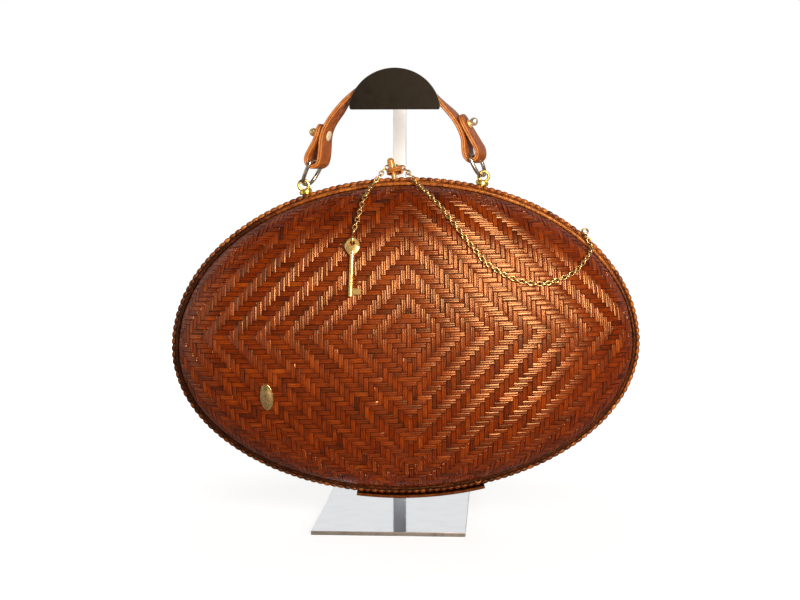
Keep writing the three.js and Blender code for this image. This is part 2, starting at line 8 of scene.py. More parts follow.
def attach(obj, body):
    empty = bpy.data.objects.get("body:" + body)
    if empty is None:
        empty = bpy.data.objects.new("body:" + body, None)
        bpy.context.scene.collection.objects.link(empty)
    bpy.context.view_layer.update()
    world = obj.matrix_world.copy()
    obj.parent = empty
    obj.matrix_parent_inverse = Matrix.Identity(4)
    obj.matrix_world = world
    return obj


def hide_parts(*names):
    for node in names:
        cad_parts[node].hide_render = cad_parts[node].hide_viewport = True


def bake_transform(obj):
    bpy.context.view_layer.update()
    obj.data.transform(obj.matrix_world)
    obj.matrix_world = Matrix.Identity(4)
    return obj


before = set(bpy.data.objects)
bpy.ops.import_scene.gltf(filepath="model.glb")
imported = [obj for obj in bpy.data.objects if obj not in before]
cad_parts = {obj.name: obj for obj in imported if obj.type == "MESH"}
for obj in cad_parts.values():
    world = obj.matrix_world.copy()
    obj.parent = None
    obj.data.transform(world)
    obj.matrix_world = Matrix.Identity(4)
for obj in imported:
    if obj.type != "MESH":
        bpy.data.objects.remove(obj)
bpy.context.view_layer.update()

# Studio: a camera in front of the bag and a little above it, a pale floor that fades into a white room,
# which is dimmer on the camera's side, and soft lamps. Matt and glossy surfaces have a key lamp each, at
# the right front. A broad fill stands in front, a weak lamp at the left, and a low one behind the bag.
CAMERA_PLACE = (-0.0043, -1.190, 0.261)
CAMERA_LENS_MM = 72
SENSOR_MM = 36
IMAGE_WIDTH_PX = 800
HORIZON_RISE_PX = 126
CAMERA_PITCH = math.atan(HORIZON_RISE_PX * SENSOR_MM / (CAMERA_LENS_MM * IMAGE_WIDTH_PX))
LAMP_AIM = (0, 0, 0.13)
WARM = (1.0, 0.93, 0.82)
WHITE = (1.0, 1.0, 1.0)
MATT = {"matt"}
GLOSS = {"gloss"}
LAMPS = [
    {"name": "key_lamp", "place": (0.68, -1.2, 0.35), "size": (0.42, 0.8),
     "watts": 21, "colour": WARM, "on": MATT},
    {"name": "gloss_lamp", "place": (0.55, -1.22, 0.66), "size": (0.42, 0.84),
     "watts": 51, "colour": WARM, "on": GLOSS},
    {"name": "fill_lamp", "place": (-0.1, -1.3, 0.5), "size": (1.3, 1.3),
     "watts": 12, "colour": WARM, "on": MATT},
    {"name": "side_lamp", "place": (-1.2, -0.2, 0.35), "size": (0.8, 0.8),
     "watts": 3, "colour": WHITE, "on": MATT | GLOSS},
    {"name": "back_lamp", "place": (-0.5, 1.3, 0.2), "size": (0.9, 0.3),
     "watts": 13, "colour": WARM, "on": MATT},
]
ROOM_SEEN = (1, 1, 1, 1)
ROOM_FRONT = 0.03
ROOM_BACK = 1.0
ROOM_TURNS_DIM = -0.05
FLOOR_HALF = 60.0
FLOOR_GREY = (0.27, 0.27, 0.27, 1)
FLOOR_ROUGHNESS = 0.9
FLOOR_GLOW = {"near": 0.79, "far": 1.0, "from": 0.16, "to": 0.42}


def add_object(name, data):
    made = bpy.data.objects.new(name, data)
    bpy.context.scene.collection.objects.link(made)
    return made


def put(tree, kind, **values):
    """A node with its settings, and with its inputs set to values or joined to other nodes' sockets."""
    node = tree.nodes.new(kind)
    for key, value in values.items():
        if key in node.inputs:
            socket = node.inputs[key]
        elif key.startswith("in") and key[2:].isdigit():
            socket = node.inputs[int(key[2:])]
        else:
            setattr(node, key, value)
            continue
        if isinstance(value, bpy.types.NodeSocket):
            tree.links.new(value, socket)
        else:
            socket.default_value = value
    return node


def wire(tree, node, **sockets):
    for key, socket in sockets.items():
        tree.links.new(socket, node.inputs[key.replace("_", " ")])


def math_of(tree, operation, *values):
    numbered = {f"in{number}": value for number, value in enumerate(values)}
    return put(tree, "ShaderNodeMath", operation=operation, **numbered).outputs[0]


def map_range(tree, value, low, high, to_low=0.0, to_high=1.0):
    limits = {"From Min": low, "From Max": high, "To Min": to_low, "To Max": to_high}
    return put(tree, "ShaderNodeMapRange", Value=value, **limits).outputs["Result"]


def new_material(name, **sockets):
    material = bpy.data.materials.new(name)
    material.use_nodes = True
    shader = material.node_tree.nodes["Principled BSDF"]
    for key, value in sockets.items():
        shader.inputs[key.replace("_", " ")].default_value = value
    return material, material.node_tree, shader


camera = add_object("camera", bpy.data.cameras.new("camera"))
camera.data.lens = CAMERA_LENS_MM
camera.data.sensor_width = SENSOR_MM
camera.location = CAMERA_PLACE
camera.rotation_euler = (math.pi / 2 - CAMERA_PITCH, 0, 0)
bpy.context.scene.camera = camera
bpy.context.scene.view_settings.view_transform = "Standard"

for lamp in LAMPS:
    light = add_object(lamp["name"], bpy.data.lights.new(lamp["name"], "AREA"))
    light.data.shape = "RECTANGLE"
    light.data.size, light.data.size_y = lamp["size"]
    light.data.energy = lamp["watts"]
    light.data.color = lamp["colour"]
    light.visible_glossy = "gloss" in lamp["on"]
    light.visible_diffuse = "matt" in lamp["on"]
    light.visible_camera = False
    light.location = lamp["place"]
    light.rotation_euler = (Vector(LAMP_AIM) - Vector(lamp["place"])).to_track_quat("-Z", "Y").to_euler()

room = bpy.data.worlds.new("room")
room.use_nodes = True
bpy.context.scene.world = room
room_tree = room.node_tree
room_tree.nodes.clear()
room_way = put(room_tree, "ShaderNodeTexCoord").outputs["Generated"]
room_axes = put(room_tree, "ShaderNodeSeparateXYZ", Vector=room_way)
room_level = map_range(room_tree, room_axes.outputs["Y"], ROOM_TURNS_DIM, 1.0, ROOM_FRONT, ROOM_BACK)
room_lit = put(room_tree, "ShaderNodeBackground", Strength=room_level)
room_seen = put(room_tree, "ShaderNodeBackground", Color=ROOM_SEEN)
room_is_seen = put(room_tree, "ShaderNodeLightPath").outputs["Is Camera Ray"]
room_either = put(room_tree, "ShaderNodeMixShader", in0=room_is_seen, in1=room_lit.outputs[0],
                  in2=room_seen.outputs[0])
put(room_tree, "ShaderNodeOutputWorld", Surface=room_either.outputs[0])

floor_mesh = bpy.data.meshes.new("floor")
floor_corners = [(x * FLOOR_HALF, y * FLOOR_HALF, 0) for x, y in ((-1, -1), (1, -1), (1, 1), (-1, 1))]
floor_mesh.from_pydata(floor_corners, [], [(0, 1, 2, 3)])
floor = add_object("floor", floor_mesh)
floor_paint, floor_tree, floor_shader = new_material(
    "floor_paint", Base_Color=FLOOR_GREY, Roughness=FLOOR_ROUGHNESS, Emission_Color=ROOM_SEEN)
floor_place = put(floor_tree, "ShaderNodeTexCoord").outputs["Object"]
floor_radius = put(floor_tree, "ShaderNodeVectorMath", operation="LENGTH", in0=floor_place).outputs["Value"]
floor_level = map_range(floor_tree, floor_radius, FLOOR_GLOW["from"], FLOOR_GLOW["to"], FLOOR_GLOW["near"],
                        FLOOR_GLOW["far"])
floor_is_seen = put(floor_tree, "ShaderNodeLightPath").outputs["Is Camera Ray"]
wire(floor_tree, floor_shader, Emission_Strength=math_of(floor_tree, "MULTIPLY", floor_is_seen, floor_level))
floor_mesh.materials.append(floor_paint)

# Woven shells: two domes of split rattan in a three-over, three-under twill, whose floats change sides on
# the middle row and column and so make nested diamonds. The splints are laid at an even pitch along the
# dome, bent over the foot of it and tucked behind the rim. They are stained red-brown and varnished.
MM = 0.001
BAG_MIDDLE_Z = 133.5
BAG_LEAN = math.radians(-1.2)
BAG_PLACE = Matrix.Translation((0, 0, BAG_MIDDLE_Z * MM)) @ Matrix.Rotation(BAG_LEAN, 4, "Y")
HALF_WIDTH = 175.0
UPPER_RISE = 125.5
LOWER_DROP = 112.0
DOME_INSET = 6.6
DOME_BASE = 6.5
DOME_DEPTH = 47.0
APEX_RISE = 7.0
PITCH = 3.5
WEAVE_MIDDLE = (2.2, 5.3)
REPEAT = 6
MOST_SPLINTS = 54
FEWEST_RINGS = 4
SPLINT_WIDTH = 3.48
SPLINT_THICK = 0.8
CROSSING_LIFT = 0.48
PROUD = 0.15
TUCK = 3.6
FLAT_SHARE = 0.42
DIP = 0.36
DIP_CELLS = 1.2
# Floats are darker towards their ends: painted shade where they dive under the crossing splints.
END_SHADE = 0.1
END_CELLS = 0.75
# Each section point's last value lowers the splint's tone at its edges: painted shade in the gaps between
# splints.
SPLINT_SECTION = [
    {"across": -1.0, "up": -0.5, "stain": 0.12},
    {"across": -1.0, "up": 0.24, "stain": 0.14},
    {"across": -0.62, "up": 0.45, "stain": 0.0},
    {"across": 0.62, "up": 0.45, "stain": 0.0},
    {"across": 1.0, "up": 0.24, "stain": 0.14},
    {"across": 1.0, "up": -0.5, "stain": 0.12},
]
SPLINT_TONE = 0.525
DARK_SPLINTS = {"share": 0.04, "darker": 0.1}
SPREAD = {"lift": 0.05, "roll": 0.075, "wander": 0.1, "width": 0.02,
          "splint_tone": 0.038, "tone_along": 0.048, "float_tone": 0.042}
WANDER_AT = np.arange(-60, 61) * 9.0
TONE_AT = WANDER_AT * 3
GRAIN_APART = 7.3
ROWS_GRAIN_APART = 400
SPLINT_SHARP = 28
FAR_AWAY = 1e4
MIRRORED = np.array([1, -1, 1])
GAUSS_AT, GAUSS_SHARE = np.polynomial.legendre.leggauss(16)
GAUSS_AT = (GAUSS_AT + 1) / 2
GAUSS_SHARE = GAUSS_SHARE / 2
NEWTON_STEPS = 5
POINT_FIELDS = (
    ("grain", "FLOAT_VECTOR", "vector"),
    ("fibre", "FLOAT_VECTOR", "vector"),
    ("tone", "FLOAT", "value"),
)


def foot_radius(c, s):
    """How far the dome's foot lies from its apex, seen from the front, in the direction (c, s)."""

    def reach(rise):
        a = (c / (HALF_WIDTH - DOME_INSET)) ** 2 + (s / rise) ** 2
        b = 2 * APEX_RISE * s / rise**2
        k = (APEX_RISE / rise) ** 2 - 1
        return (-b + np.sqrt(b * b - 4 * a * k)) / (2 * a)

    upper = reach(UPPER_RISE - DOME_INSET)
    lower = reach(LOWER_DROP - DOME_INSET)
    return np.where(APEX_RISE + upper * s >= 0, upper, lower)


def slope_length(radius, turn):
    return np.sqrt((radius * np.cos(turn)) ** 2 + (DOME_DEPTH * np.sin(turn)) ** 2)


def arc_length(radius, turn):
    """The length along the dome from its apex, in a section whose foot lies at radius."""
    steps = turn[..., None] * GAUSS_AT
    return turn * (GAUSS_SHARE * slope_length(radius[..., None], steps)).sum(-1)


def past_foot(u, v):
    """How far a point of the flat weave lies past the dome's foot once it is laid over the dome."""
    rho = np.maximum(np.hypot(u, v), 1e-6)
    radius = foot_radius(u / rho, v / rho)
    return rho - arc_length(radius, np.full_like(radius, math.pi / 2))


def dome_point(u, v):
    """Lays a point of the flat weave on the front dome: its distance from the apex stays what it was."""
    rho = np.maximum(np.hypot(u, v), 1e-6)
    c, s = u / rho, v / rho
    radius = foot_radius(c, s)
    whole = arc_length(radius, np.full_like(radius, math.pi / 2))
    wanted = np.minimum(rho, whole)
    turn = wanted / whole * math.pi / 2
    for _ in range(NEWTON_STEPS):
        turn = turn - (arc_length(radius, turn) - wanted) / slope_length(radius, turn)
        turn = np.clip(turn, 0, math.pi / 2)
    out = radius * np.sin(turn)
    deep = DOME_BASE + DOME_DEPTH * np.cos(turn) - (rho - wanted)
    return np.stack([out * c, -deep, APEX_RISE + out * s], -1)


def unit(vectors):
    return vectors / np.maximum(np.linalg.norm(vectors, axis=-1, keepdims=True), 1e-12)


def dome_frame(u, v):
    step = 0.05
    along_u = dome_point(u + step, v) - dome_point(u - step, v)
    along_v = dome_point(u, v + step) - dome_point(u, v - step)
    return dome_point(u, v), unit(np.cross(along_u, along_v))


def add_lofts(name, lofts, place=BAG_PLACE):
    """One mesh of closed skins, each through rings of points in millimetres. Every point carries its grain,
    which is its place along and across the cane or wire, its tone, from dark to light, and perhaps the way
    that its fibres run."""
    points, quads, caps, start = [], [], [], 0
    for loft in lofts:
        rings = loft["rings"]
        count, sides = rings.shape[:2]
        index = start + np.arange(count * sides).reshape(count, sides)
        closed = loft.get("closed", False)
        here = index if closed else index[:-1]
        ahead = np.roll(index, -1, 0) if closed else index[1:]
        corners = [here, ahead, np.roll(ahead, -1, 1), np.roll(here, -1, 1)]
        quads.append(np.stack(corners, -1).reshape(-1, 4))
        if not closed:
            caps += [index[0][None], index[-1][::-1][None]]
        points.append(rings.reshape(-1, 3))
        start += count * sides
    points = np.concatenate(points)
    faces = [np.concatenate(quads)]
    for sides in sorted({cap.shape[1] for cap in caps}):
        faces.append(np.concatenate([cap for cap in caps if cap.shape[1] == sides]))
    fans = [(f[:, 0], f[:, k], f[:, k + 1]) for f in faces for k in range(1, f.shape[1] - 1)]
    volume = sum((points[a] * np.cross(points[b], points[c])).sum() for a, b, c in fans)
    if volume < 0:
        faces = [f[:, ::-1] for f in faces]
    sizes = np.concatenate([np.full(len(f), f.shape[1]) for f in faces])
    corners = np.concatenate([f.ravel() for f in faces])
    mesh = bpy.data.meshes.new(name)
    mesh.vertices.add(len(points))
    mesh.vertices.foreach_set("co", (points * MM).ravel())
    mesh.loops.add(len(corners))
    mesh.loops.foreach_set("vertex_index", corners)
    mesh.polygons.add(len(sizes))
    mesh.polygons.foreach_set("loop_start", np.cumsum(sizes) - sizes)
    mesh.polygons.foreach_set("use_smooth", np.arange(len(sizes)) < len(faces[0]))
    mesh.update(calc_edges=True)
    for key, kind, field in POINT_FIELDS:
        if all(key in loft for loft in lofts):
            values = np.concatenate([loft[key].reshape(loft["rings"].size // 3, -1) for loft in lofts])
            attribute = mesh.attributes.new(key, kind, "POINT")
            attribute.data.foreach_set(field, values.astype(np.float32).ravel())
    made = add_object(name, mesh)
    made.matrix_world = place
    return made


def seat(piece, material, slot, body, *nodes, sharp=None):
    """Gives a piece its finish, and lets it ride on a body in the place of CAD nodes."""
    if sharp is not None:
        piece.data.set_sharp_from_angle(angle=math.radians(sharp))
    piece.data.materials.append(material)
    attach(piece, body)
    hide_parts(*nodes)


def splint_lofts(rows, seed):
    """The splints of the front dome that run up it, or across it if rows is true."""
    random = np.random.default_rng(seed)
    across, up, stain = np.array([(p["across"], p["up"], p["stain"]) for p in SPLINT_SECTION]).T
    cells = np.arange(-MOST_SPLINTS, MOST_SPLINTS + 1)
    lofts = []
    for number in cells:
        cell = np.repeat(cells, 2)
        along = (cell + np.tile([-FLAT_SHARE, FLAT_SHARE], len(cells))) * PITCH
        middle = np.full(len(along), number * PITCH)
        u, v = (along, middle) if rows else (middle, along)
        inside = past_foot(u + WEAVE_MIDDLE[0], v + WEAVE_MIDDLE[1]) < TUCK
        if inside.sum() < FEWEST_RINGS:
            continue
        along, cell, middle = along[inside], cell[inside], middle[inside]
        upright_on_top = (abs(number) + np.abs(cell)) % REPEAT < REPEAT // 2
        over = upright_on_top != rows
        changes = np.flatnonzero(over[1:] != over[:-1])
        borders = np.append((along[changes] + along[changes + 1]) / 2, FAR_AWAY)
        to_border = np.abs(along[:, None] - borders).min(1) / PITCH
        float_number = np.searchsorted(borders[:-1], along)
        floats = len(borders)
        dip = DIP * (1 - np.minimum(to_border / DIP_CELLS, 1)) ** 2
        lift = np.where(over, CROSSING_LIFT, -CROSSING_LIFT) * (1 - dip)
        lift = lift + random.normal(0, SPREAD["lift"], floats)[float_number]
        roll = random.normal(0, SPREAD["roll"], floats)[float_number]
        middle = middle + np.interp(along, WANDER_AT, random.normal(0, SPREAD["wander"], len(WANDER_AT)))
        reach = across * (SPLINT_WIDTH * random.normal(1, SPREAD["width"])) / 2
        tone = random.normal(SPLINT_TONE, SPREAD["splint_tone"])
        tone = tone - DARK_SPLINTS["darker"] * (random.random() < DARK_SPLINTS["share"])
        tone = tone + np.interp(along, TONE_AT, random.normal(0, SPREAD["tone_along"], len(TONE_AT)))
        tone = tone + random.normal(0, SPREAD["float_tone"], floats)[float_number]
        # Painted shade: the tone falls towards each float's ends, where it dives under the crossing splints.
        tone = tone - END_SHADE * (1 - np.minimum(to_border / END_CELLS, 1))
        side = middle[:, None] + reach
        flat = np.broadcast_to(along[:, None], side.shape)
        height = lift[:, None] + up * SPLINT_THICK + roll[:, None] * reach
        own_grain = np.full(side.shape, number * GRAIN_APART + ROWS_GRAIN_APART * rows)
        # Each point's tone is lowered at the splint's edges, as painted shade in the gaps between splints.
        lofts.append({
            "u": (flat if rows else side) + WEAVE_MIDDLE[0],
            "v": (side if rows else flat) + WEAVE_MIDDLE[1],
            "height": height + PROUD - CROSSING_LIFT - SPLINT_THICK / 2,
            "tone": tone[:, None] - stain,
            "grain": np.stack([side - middle[:, None], flat, own_grain], -1),
        })
    u, v, height = [np.concatenate([loft[key].ravel() for loft in lofts]) for key in ("u", "v", "height")]
    point, normal = dome_frame(u, v)
    ends = np.cumsum([loft["u"].size for loft in lofts])[:-1]
    for loft, rings in zip(lofts, np.split(point + normal * height[:, None], ends)):
        loft["rings"] = rings.reshape(*loft["u"].shape, 3)
        loft["fibre"] = unit(np.gradient(loft["rings"], axis=0))
    return lofts


def new_group(name, vectors, numbers, results):
    """A shader node group, with its vector inputs, its number inputs and their values, and its outputs."""
    tree = bpy.data.node_groups.new(name, "ShaderNodeTree")
    for socket in vectors:
        tree.interface.new_socket(socket, in_out="INPUT", socket_type="NodeSocketVector")
    for socket, value in numbers.items():
        made = tree.interface.new_socket(socket, in_out="INPUT", socket_type="NodeSocketFloat")
        made.default_value = value
    for socket in results:
        tree.interface.new_socket(socket, in_out="OUTPUT", socket_type="NodeSocketFloat")
    return tree, tree.nodes.new("NodeGroupInput").outputs, tree.nodes.new("NodeGroupOutput")


def noise(tree, place, detail, scale=1.0, roughness=0.5):
    node = put(tree, "ShaderNodeTexNoise", Vector=place, Scale=scale, Detail=detail, Roughness=roughness)
    return node.outputs["Fac"]


def stretched(tree, place, amount):
    return put(tree, "ShaderNodeVectorMath", operation="MULTIPLY", in0=place, in1=amount).outputs[0]


def ramp(tree, value, stops):
    node = put(tree, "ShaderNodeValToRGB", Fac=value)
    elements = node.color_ramp.elements
    while len(elements) < len(stops):
        elements.new(0.5)
    for element, (at, colour) in zip(elements, stops):
        element.position = at
        element.color = (*colour, 1)
    return node.outputs["Color"]


def bump(tree, height, distance, strength=1.0):
    return put(tree, "ShaderNodeBump", Height=height, Distance=distance, Strength=strength).outputs["Normal"]


def grain_of(tree):
    return put(tree, "ShaderNodeAttribute", attribute_name="grain").outputs["Vector"]


def tone_of(tree):
    return put(tree, "ShaderNodeAttribute", attribute_name="tone").outputs["Fac"]


# Split cane shows fine streaks along its fibres, rounded ridges with grooves between them, broader stains,
# and amber varnish that is duller in places. The fibres spread its shine across them. Its colour is painted
# darker in the grooves and paler on the ridge tops, as painted shade and painted light.
VARNISH = (1.0, 0.535, 0.235, 1)
COAT_ROUGHNESS = 0.2
FINE_STREAKS = (1.5, 0.05, 1)
BROAD_STAINS = (0.25, 0.09, 1)
STREAK_RANGE = (0.75, 1.25)
DULL_VARNISH = 0.38
BRIGHT_VARNISH = 0.27
STREAK_RELIEF = 0.3
# How much darker the grooves and paler the ridge tops are painted: painted shade and painted light.
GROOVE_SHADE_RIDGE_LIGHT = 0.05
CANE_BUMP = 0.0001
FIBRE_SPREAD = 0.5
QUARTER_TURN = 0.25
cane_streaks, cane, cane_result = new_group(
    "cane_streaks",
    vectors=["Grain"],
    numbers={"Tone": 0.5, "Contrast": 0.3, "Ridge": 0.0, "Ridge Waves": 3.5},
    results=["Shade", "Gloss", "Height"],
)
fine = noise(cane_streaks, stretched(cane_streaks, cane["Grain"], FINE_STREAKS), detail=1.0)
stain = noise(cane_streaks, stretched(cane_streaks, cane["Grain"], BROAD_STAINS), detail=2.0)
both = math_of(cane_streaks, "ADD", fine, stain)
centred = math_of(cane_streaks, "SUBTRACT", both, 1.0)
shade = math_of(cane_streaks, "MULTIPLY_ADD", centred, cane["Contrast"], cane["Tone"])
cane_axes = put(cane_streaks, "ShaderNodeSeparateXYZ", Vector=cane["Grain"])
wave = math_of(cane_streaks, "MULTIPLY", cane_axes.outputs["X"], cane["Ridge Waves"])
hollowed = math_of(cane_streaks, "MULTIPLY", cane["Ridge"], -1.0)
grooved = math_of(cane_streaks, "MULTIPLY", math_of(cane_streaks, "COSINE", wave), hollowed)
# The shade is lowered in the grooves and raised on the ridge tops, as painted shade and painted light.
wire(
    cane_streaks,
    cane_result,
    Shade=math_of(cane_streaks, "MULTIPLY_ADD", grooved, GROOVE_SHADE_RIDGE_LIGHT, shade),
    Gloss=map_range(cane_streaks, both, *STREAK_RANGE, DULL_VARNISH, BRIGHT_VARNISH),
    Height=math_of(cane_streaks, "MULTIPLY_ADD", fine, STREAK_RELIEF, grooved),
)


def cane_material(name, stops, contrast, ridge=0.0, coat=0.06, shine=1.0):
    material, tree, shader = new_material(
        name, Coat_Weight=coat, Coat_Roughness=COAT_ROUGHNESS, Specular_IOR_Level=shine,
        Specular_Tint=VARNISH)
    streaks = put(tree, "ShaderNodeGroup", node_tree=cane_streaks, Grain=grain_of(tree), Tone=tone_of(tree),
                  Contrast=contrast, Ridge=ridge).outputs
    wire(
        tree,
        shader,
        Base_Color=ramp(tree, streaks["Shade"], stops),
        Roughness=streaks["Gloss"],
        Normal=bump(tree, streaks["Height"], CANE_BUMP),
    )
    return material


SPLINT_STOPS = [
    (0.0, (0.01, 0.0011, 0.0004)),
    (0.26, (0.055, 0.005, 0.0004)),
    (0.5, (0.157, 0.0155, 0.0004)),
    (0.74, (0.28, 0.043, 0.0022)),
    (1.0, (0.48, 0.125, 0.012)),
]
splint_cane = cane_material("splint_cane", SPLINT_STOPS, contrast=0.42, ridge=0.84, coat=0.0, shine=0.7)
splint_tree = splint_cane.node_tree
splint_shader = splint_tree.nodes["Principled BSDF"]
splint_shader.inputs["Anisotropic"].default_value = FIBRE_SPREAD
splint_shader.inputs["Anisotropic Rotation"].default_value = QUARTER_TURN
fibre = put(splint_tree, "ShaderNodeAttribute", attribute_name="fibre").outputs["Vector"]
fibre_way = put(splint_tree, "ShaderNodeVectorTransform", vector_type="VECTOR", convert_from="OBJECT",
                convert_to="WORLD", Vector=fibre)
wire(splint_tree, splint_shader, Tangent=fibre_way.outputs["Vector"])

for rows, kind, seed in ((False, "columns", 11), (True, "rows", 23)):
    front_lofts = splint_lofts(rows, seed)
    back_lofts = [{**loft, "rings": loft["rings"] * MIRRORED, "fibre": loft["fibre"] * MIRRORED}
                  for loft in front_lofts]
    for body, lofts in (("front", front_lofts), ("back", back_lofts)):
        woven = add_lofts(f"{body}_splint_{kind}", lofts)
        seat(woven, splint_cane, "rattan", body, f"{body}_shell", sharp=SPLINT_SHARP)

# Rims: round the mouth of each shell runs a bent cane hoop, whipped with split cane into a row of beads. A
# flat hoop is bound on at its inner edge and laced to the beads in a zigzag, over a core. The front beads
# are painted paler at the top and right, and the front's flat hoop, lacing and core along the top, as
# painted light where the lamps fall on the rim. Beads and links are darker where they pinch in, and the core
# is dark, as painted shade.
FRONT = -1
BACK = 1
BEADS = 178
BEAD_STEPS = 7
BEAD_SIDES = 10
BEAD = {"out": -1.95, "deep": 2.0, "radius": 1.78, "pinch": 0.8, "slant": 0.1, "size_spread": 0.035,
        "tone": 0.47, "lighter": 0.22, "tone_spread": 0.08, "joint_stain": 0.55, "grain": 4.4}
BAND_LINKS = 202
BAND_STEPS = 6
BAND_SIDES = 8
BAND = {"out": -5.0, "deep": 5.5, "half_width": 1.25, "half_thick": 0.75, "pinch": 0.25,
        "tone": 0.3, "lighter": 0.42, "tone_spread": 0.05, "joint_stain": 0.8, "own_grain": 5.0}
LACE_STEPS = 6
LACE_SIDES = 5
LACE = {"near_out": -4.1, "near_deep": 5.7, "far_out": -2.9, "far_deep": 3.8, "radius": 0.46,
        "tone": 0.18, "lighter": 0.42, "tone_spread": 0.06, "own_grain": 9.0}
LINK_GRAIN = 4.5
CORE_STEPS = 200
CORE_SECTION = [
    (-9.6, 0.45), (-2.2, 0.45), (-1.7, 2.0), (-2.7, 3.3), (-4.2, 4.9), (-6.05, 5.1), (-6.2, 2.4),
    (-9.6, 2.4),
]
# The core's low tone is painted shade in the crease between the flat hoop and the beads.
CORE = {"tone": 0.12, "lighter": 0.3, "grain": 900}
# Where the front rim is painted paler, as painted light where the lamps fall on it: the beads at the top and
# right, and the flat hoop, lacing and core along the top.
LIT_BEADS = {"middle": math.radians(50), "half": math.radians(82), "fade": math.radians(26)}
LIT_BAND = {"middle": math.radians(73), "half": math.radians(38), "fade": math.radians(22)}
TIE_TURNS = [math.acos(-37.0 / HALF_WIDTH), math.acos(22.4 / HALF_WIDTH), -math.acos(53.0 / HALF_WIDTH)]
TIE = {"out": -4.6, "deep": 5.6, "half_span": 2.2, "over": 1.6, "proud": 1.0, "cane": 0.5, "tuck": 0.25,
       "tone": 0.85}
TIE_STEPS = 12
TIE_SIDES = 6
RIM_SEED = 40
OUTLINE_TURNS = np.linspace(0, 2 * math.pi, 3601)


def outline(turn):
    """The bag's outline, from its right side round over the top, with its outward normal."""
    rise = np.where(np.sin(turn) >= 0, UPPER_RISE, LOWER_DROP)
    level = np.zeros_like(turn)
    point = np.stack([HALF_WIDTH * np.cos(turn), level, rise * np.sin(turn)], -1)
    normal = np.stack([np.cos(turn) / HALF_WIDTH, level, np.sin(turn) / rise], -1)
    return point, unit(normal)


def lengths_of(path):
    return np.append(0, np.cumsum(np.linalg.norm(np.diff(path, axis=0), axis=1)))


OUTLINE_LENGTHS = lengths_of(outline(OUTLINE_TURNS)[0])


def outline_turn(share):
    return np.interp(share * OUTLINE_LENGTHS[-1], OUTLINE_LENGTHS, OUTLINE_TURNS)


def rim_rings(share, out, deep, side):
    """Rings beside the outline, at shares of the way round it: out from it, and deep from the parting."""
    point, normal = outline(outline_turn(share))
    rings = point[:, None] + normal[:, None] * out[..., None]
    rings[..., 1] = side * deep
    return rings


def swell(phase, pinch):
    """The fullness of a row of beads: one at the middle of each, less where two meet."""
    return np.sqrt(1 - pinch * (2 * (phase % 1) - 1) ** 2)


def circle(sides):
    return 2 * math.pi * np.arange(sides) / sides


def front_lit_share(share, side, where):
    """How much painted light falls on the front rim, at shares of the way round it; the back rim gets none.
    """
    aside = (outline_turn(share) - where["middle"] + math.pi) % (2 * math.pi) - math.pi
    away = np.abs(aside) - where["half"]
    return ((1 - np.clip(away / where["fade"], 0, 1)) * (side == FRONT))[:, None]


def skin(rings, grain=None, tone=0.5, closed=False):
    """A loft through rings, with its tone, and with its grain, which is its own place if none is given."""
    shape = rings.shape[:2]
    if grain is None:
        grain = rings
    else:
        grain = np.stack([np.broadcast_to(part, shape) for part in grain], -1)
    return {"rings": rings, "grain": grain, "tone": np.broadcast_to(tone, shape), "closed": closed}


def bead_loft(side, random):
    at = np.arange(BEADS * BEAD_STEPS) / BEAD_STEPS
    turn = circle(BEAD_SIDES)
    phase = at[:, None] + BEAD["slant"] * np.sin(turn)
    number = np.floor(phase).astype(int) % BEADS
    fullness = swell(phase, BEAD["pinch"])
    radius = BEAD["radius"] * fullness * random.normal(1, BEAD["size_spread"], BEADS)[number]
    out = BEAD["out"] + radius * np.cos(turn)
    deep = BEAD["deep"] + radius * np.sin(turn)
    tone = BEAD["tone"] + BEAD["lighter"] * front_lit_share(at / BEADS, side, LIT_BEADS)
    # Painted shade: each bead is darker where it pinches in against the next.
    tone = tone + random.normal(0, BEAD["tone_spread"], BEADS)[number] - BEAD["joint_stain"] * (1 - fullness)
    grain = (BEAD["grain"] * phase, radius * turn, 0)
    return skin(rim_rings(at / BEADS, out, deep, side), grain, tone, closed=True)


def band_loft(side, random):
    at = np.arange(BAND_LINKS * BAND_STEPS) / BAND_STEPS
    turn = circle(BAND_SIDES)
    fullness = swell(at, BAND["pinch"])[:, None]
    out = BAND["out"] + BAND["half_width"] * fullness * np.cos(turn)
    deep = BAND["deep"] + BAND["half_thick"] * fullness * np.sin(turn)
    tone = random.normal(BAND["tone"], BAND["tone_spread"], BAND_LINKS)[at.astype(int)][:, None]
    # Painted shade: the hoop is darker where its links pinch in.
    tone = tone - BAND["joint_stain"] * (1 - fullness)
    tone = tone + BAND["lighter"] * front_lit_share(at / BAND_LINKS, side, LIT_BAND)
    grain = (out, LINK_GRAIN * at[:, None], BAND["own_grain"])
    return skin(rim_rings(at / BAND_LINKS, out, deep, side), grain, tone, closed=True)


def lace_loft(side, random):
    at = np.arange(BAND_LINKS * LACE_STEPS) / LACE_STEPS
    turn = circle(LACE_SIDES)
    far = (1 - np.abs(2 * (at % 1) - 1))[:, None]
    out = LACE["near_out"] + (LACE["far_out"] - LACE["near_out"]) * far + LACE["radius"] * np.cos(turn)
    deep = LACE["near_deep"] + (LACE["far_deep"] - LACE["near_deep"]) * far + LACE["radius"] * np.sin(turn)
    tone = random.normal(LACE["tone"], LACE["tone_spread"], BAND_LINKS)[at.astype(int)][:, None]
    tone = tone + LACE["lighter"] * front_lit_share(at / BAND_LINKS, side, LIT_BAND)
    grain = (out, LINK_GRAIN * at[:, None], LACE["own_grain"])
    return skin(rim_rings(at / BAND_LINKS, out, deep, side), grain, tone, closed=True)


def core_loft(side):
    out, deep = np.array(CORE_SECTION).T
    at = np.arange(CORE_STEPS) / CORE_STEPS
    tone = CORE["tone"] + CORE["lighter"] * front_lit_share(at, side, LIT_BAND)
    return skin(rim_rings(at, out, deep, side), (out, CORE["grain"] * at[:, None], 0), tone, closed=True)


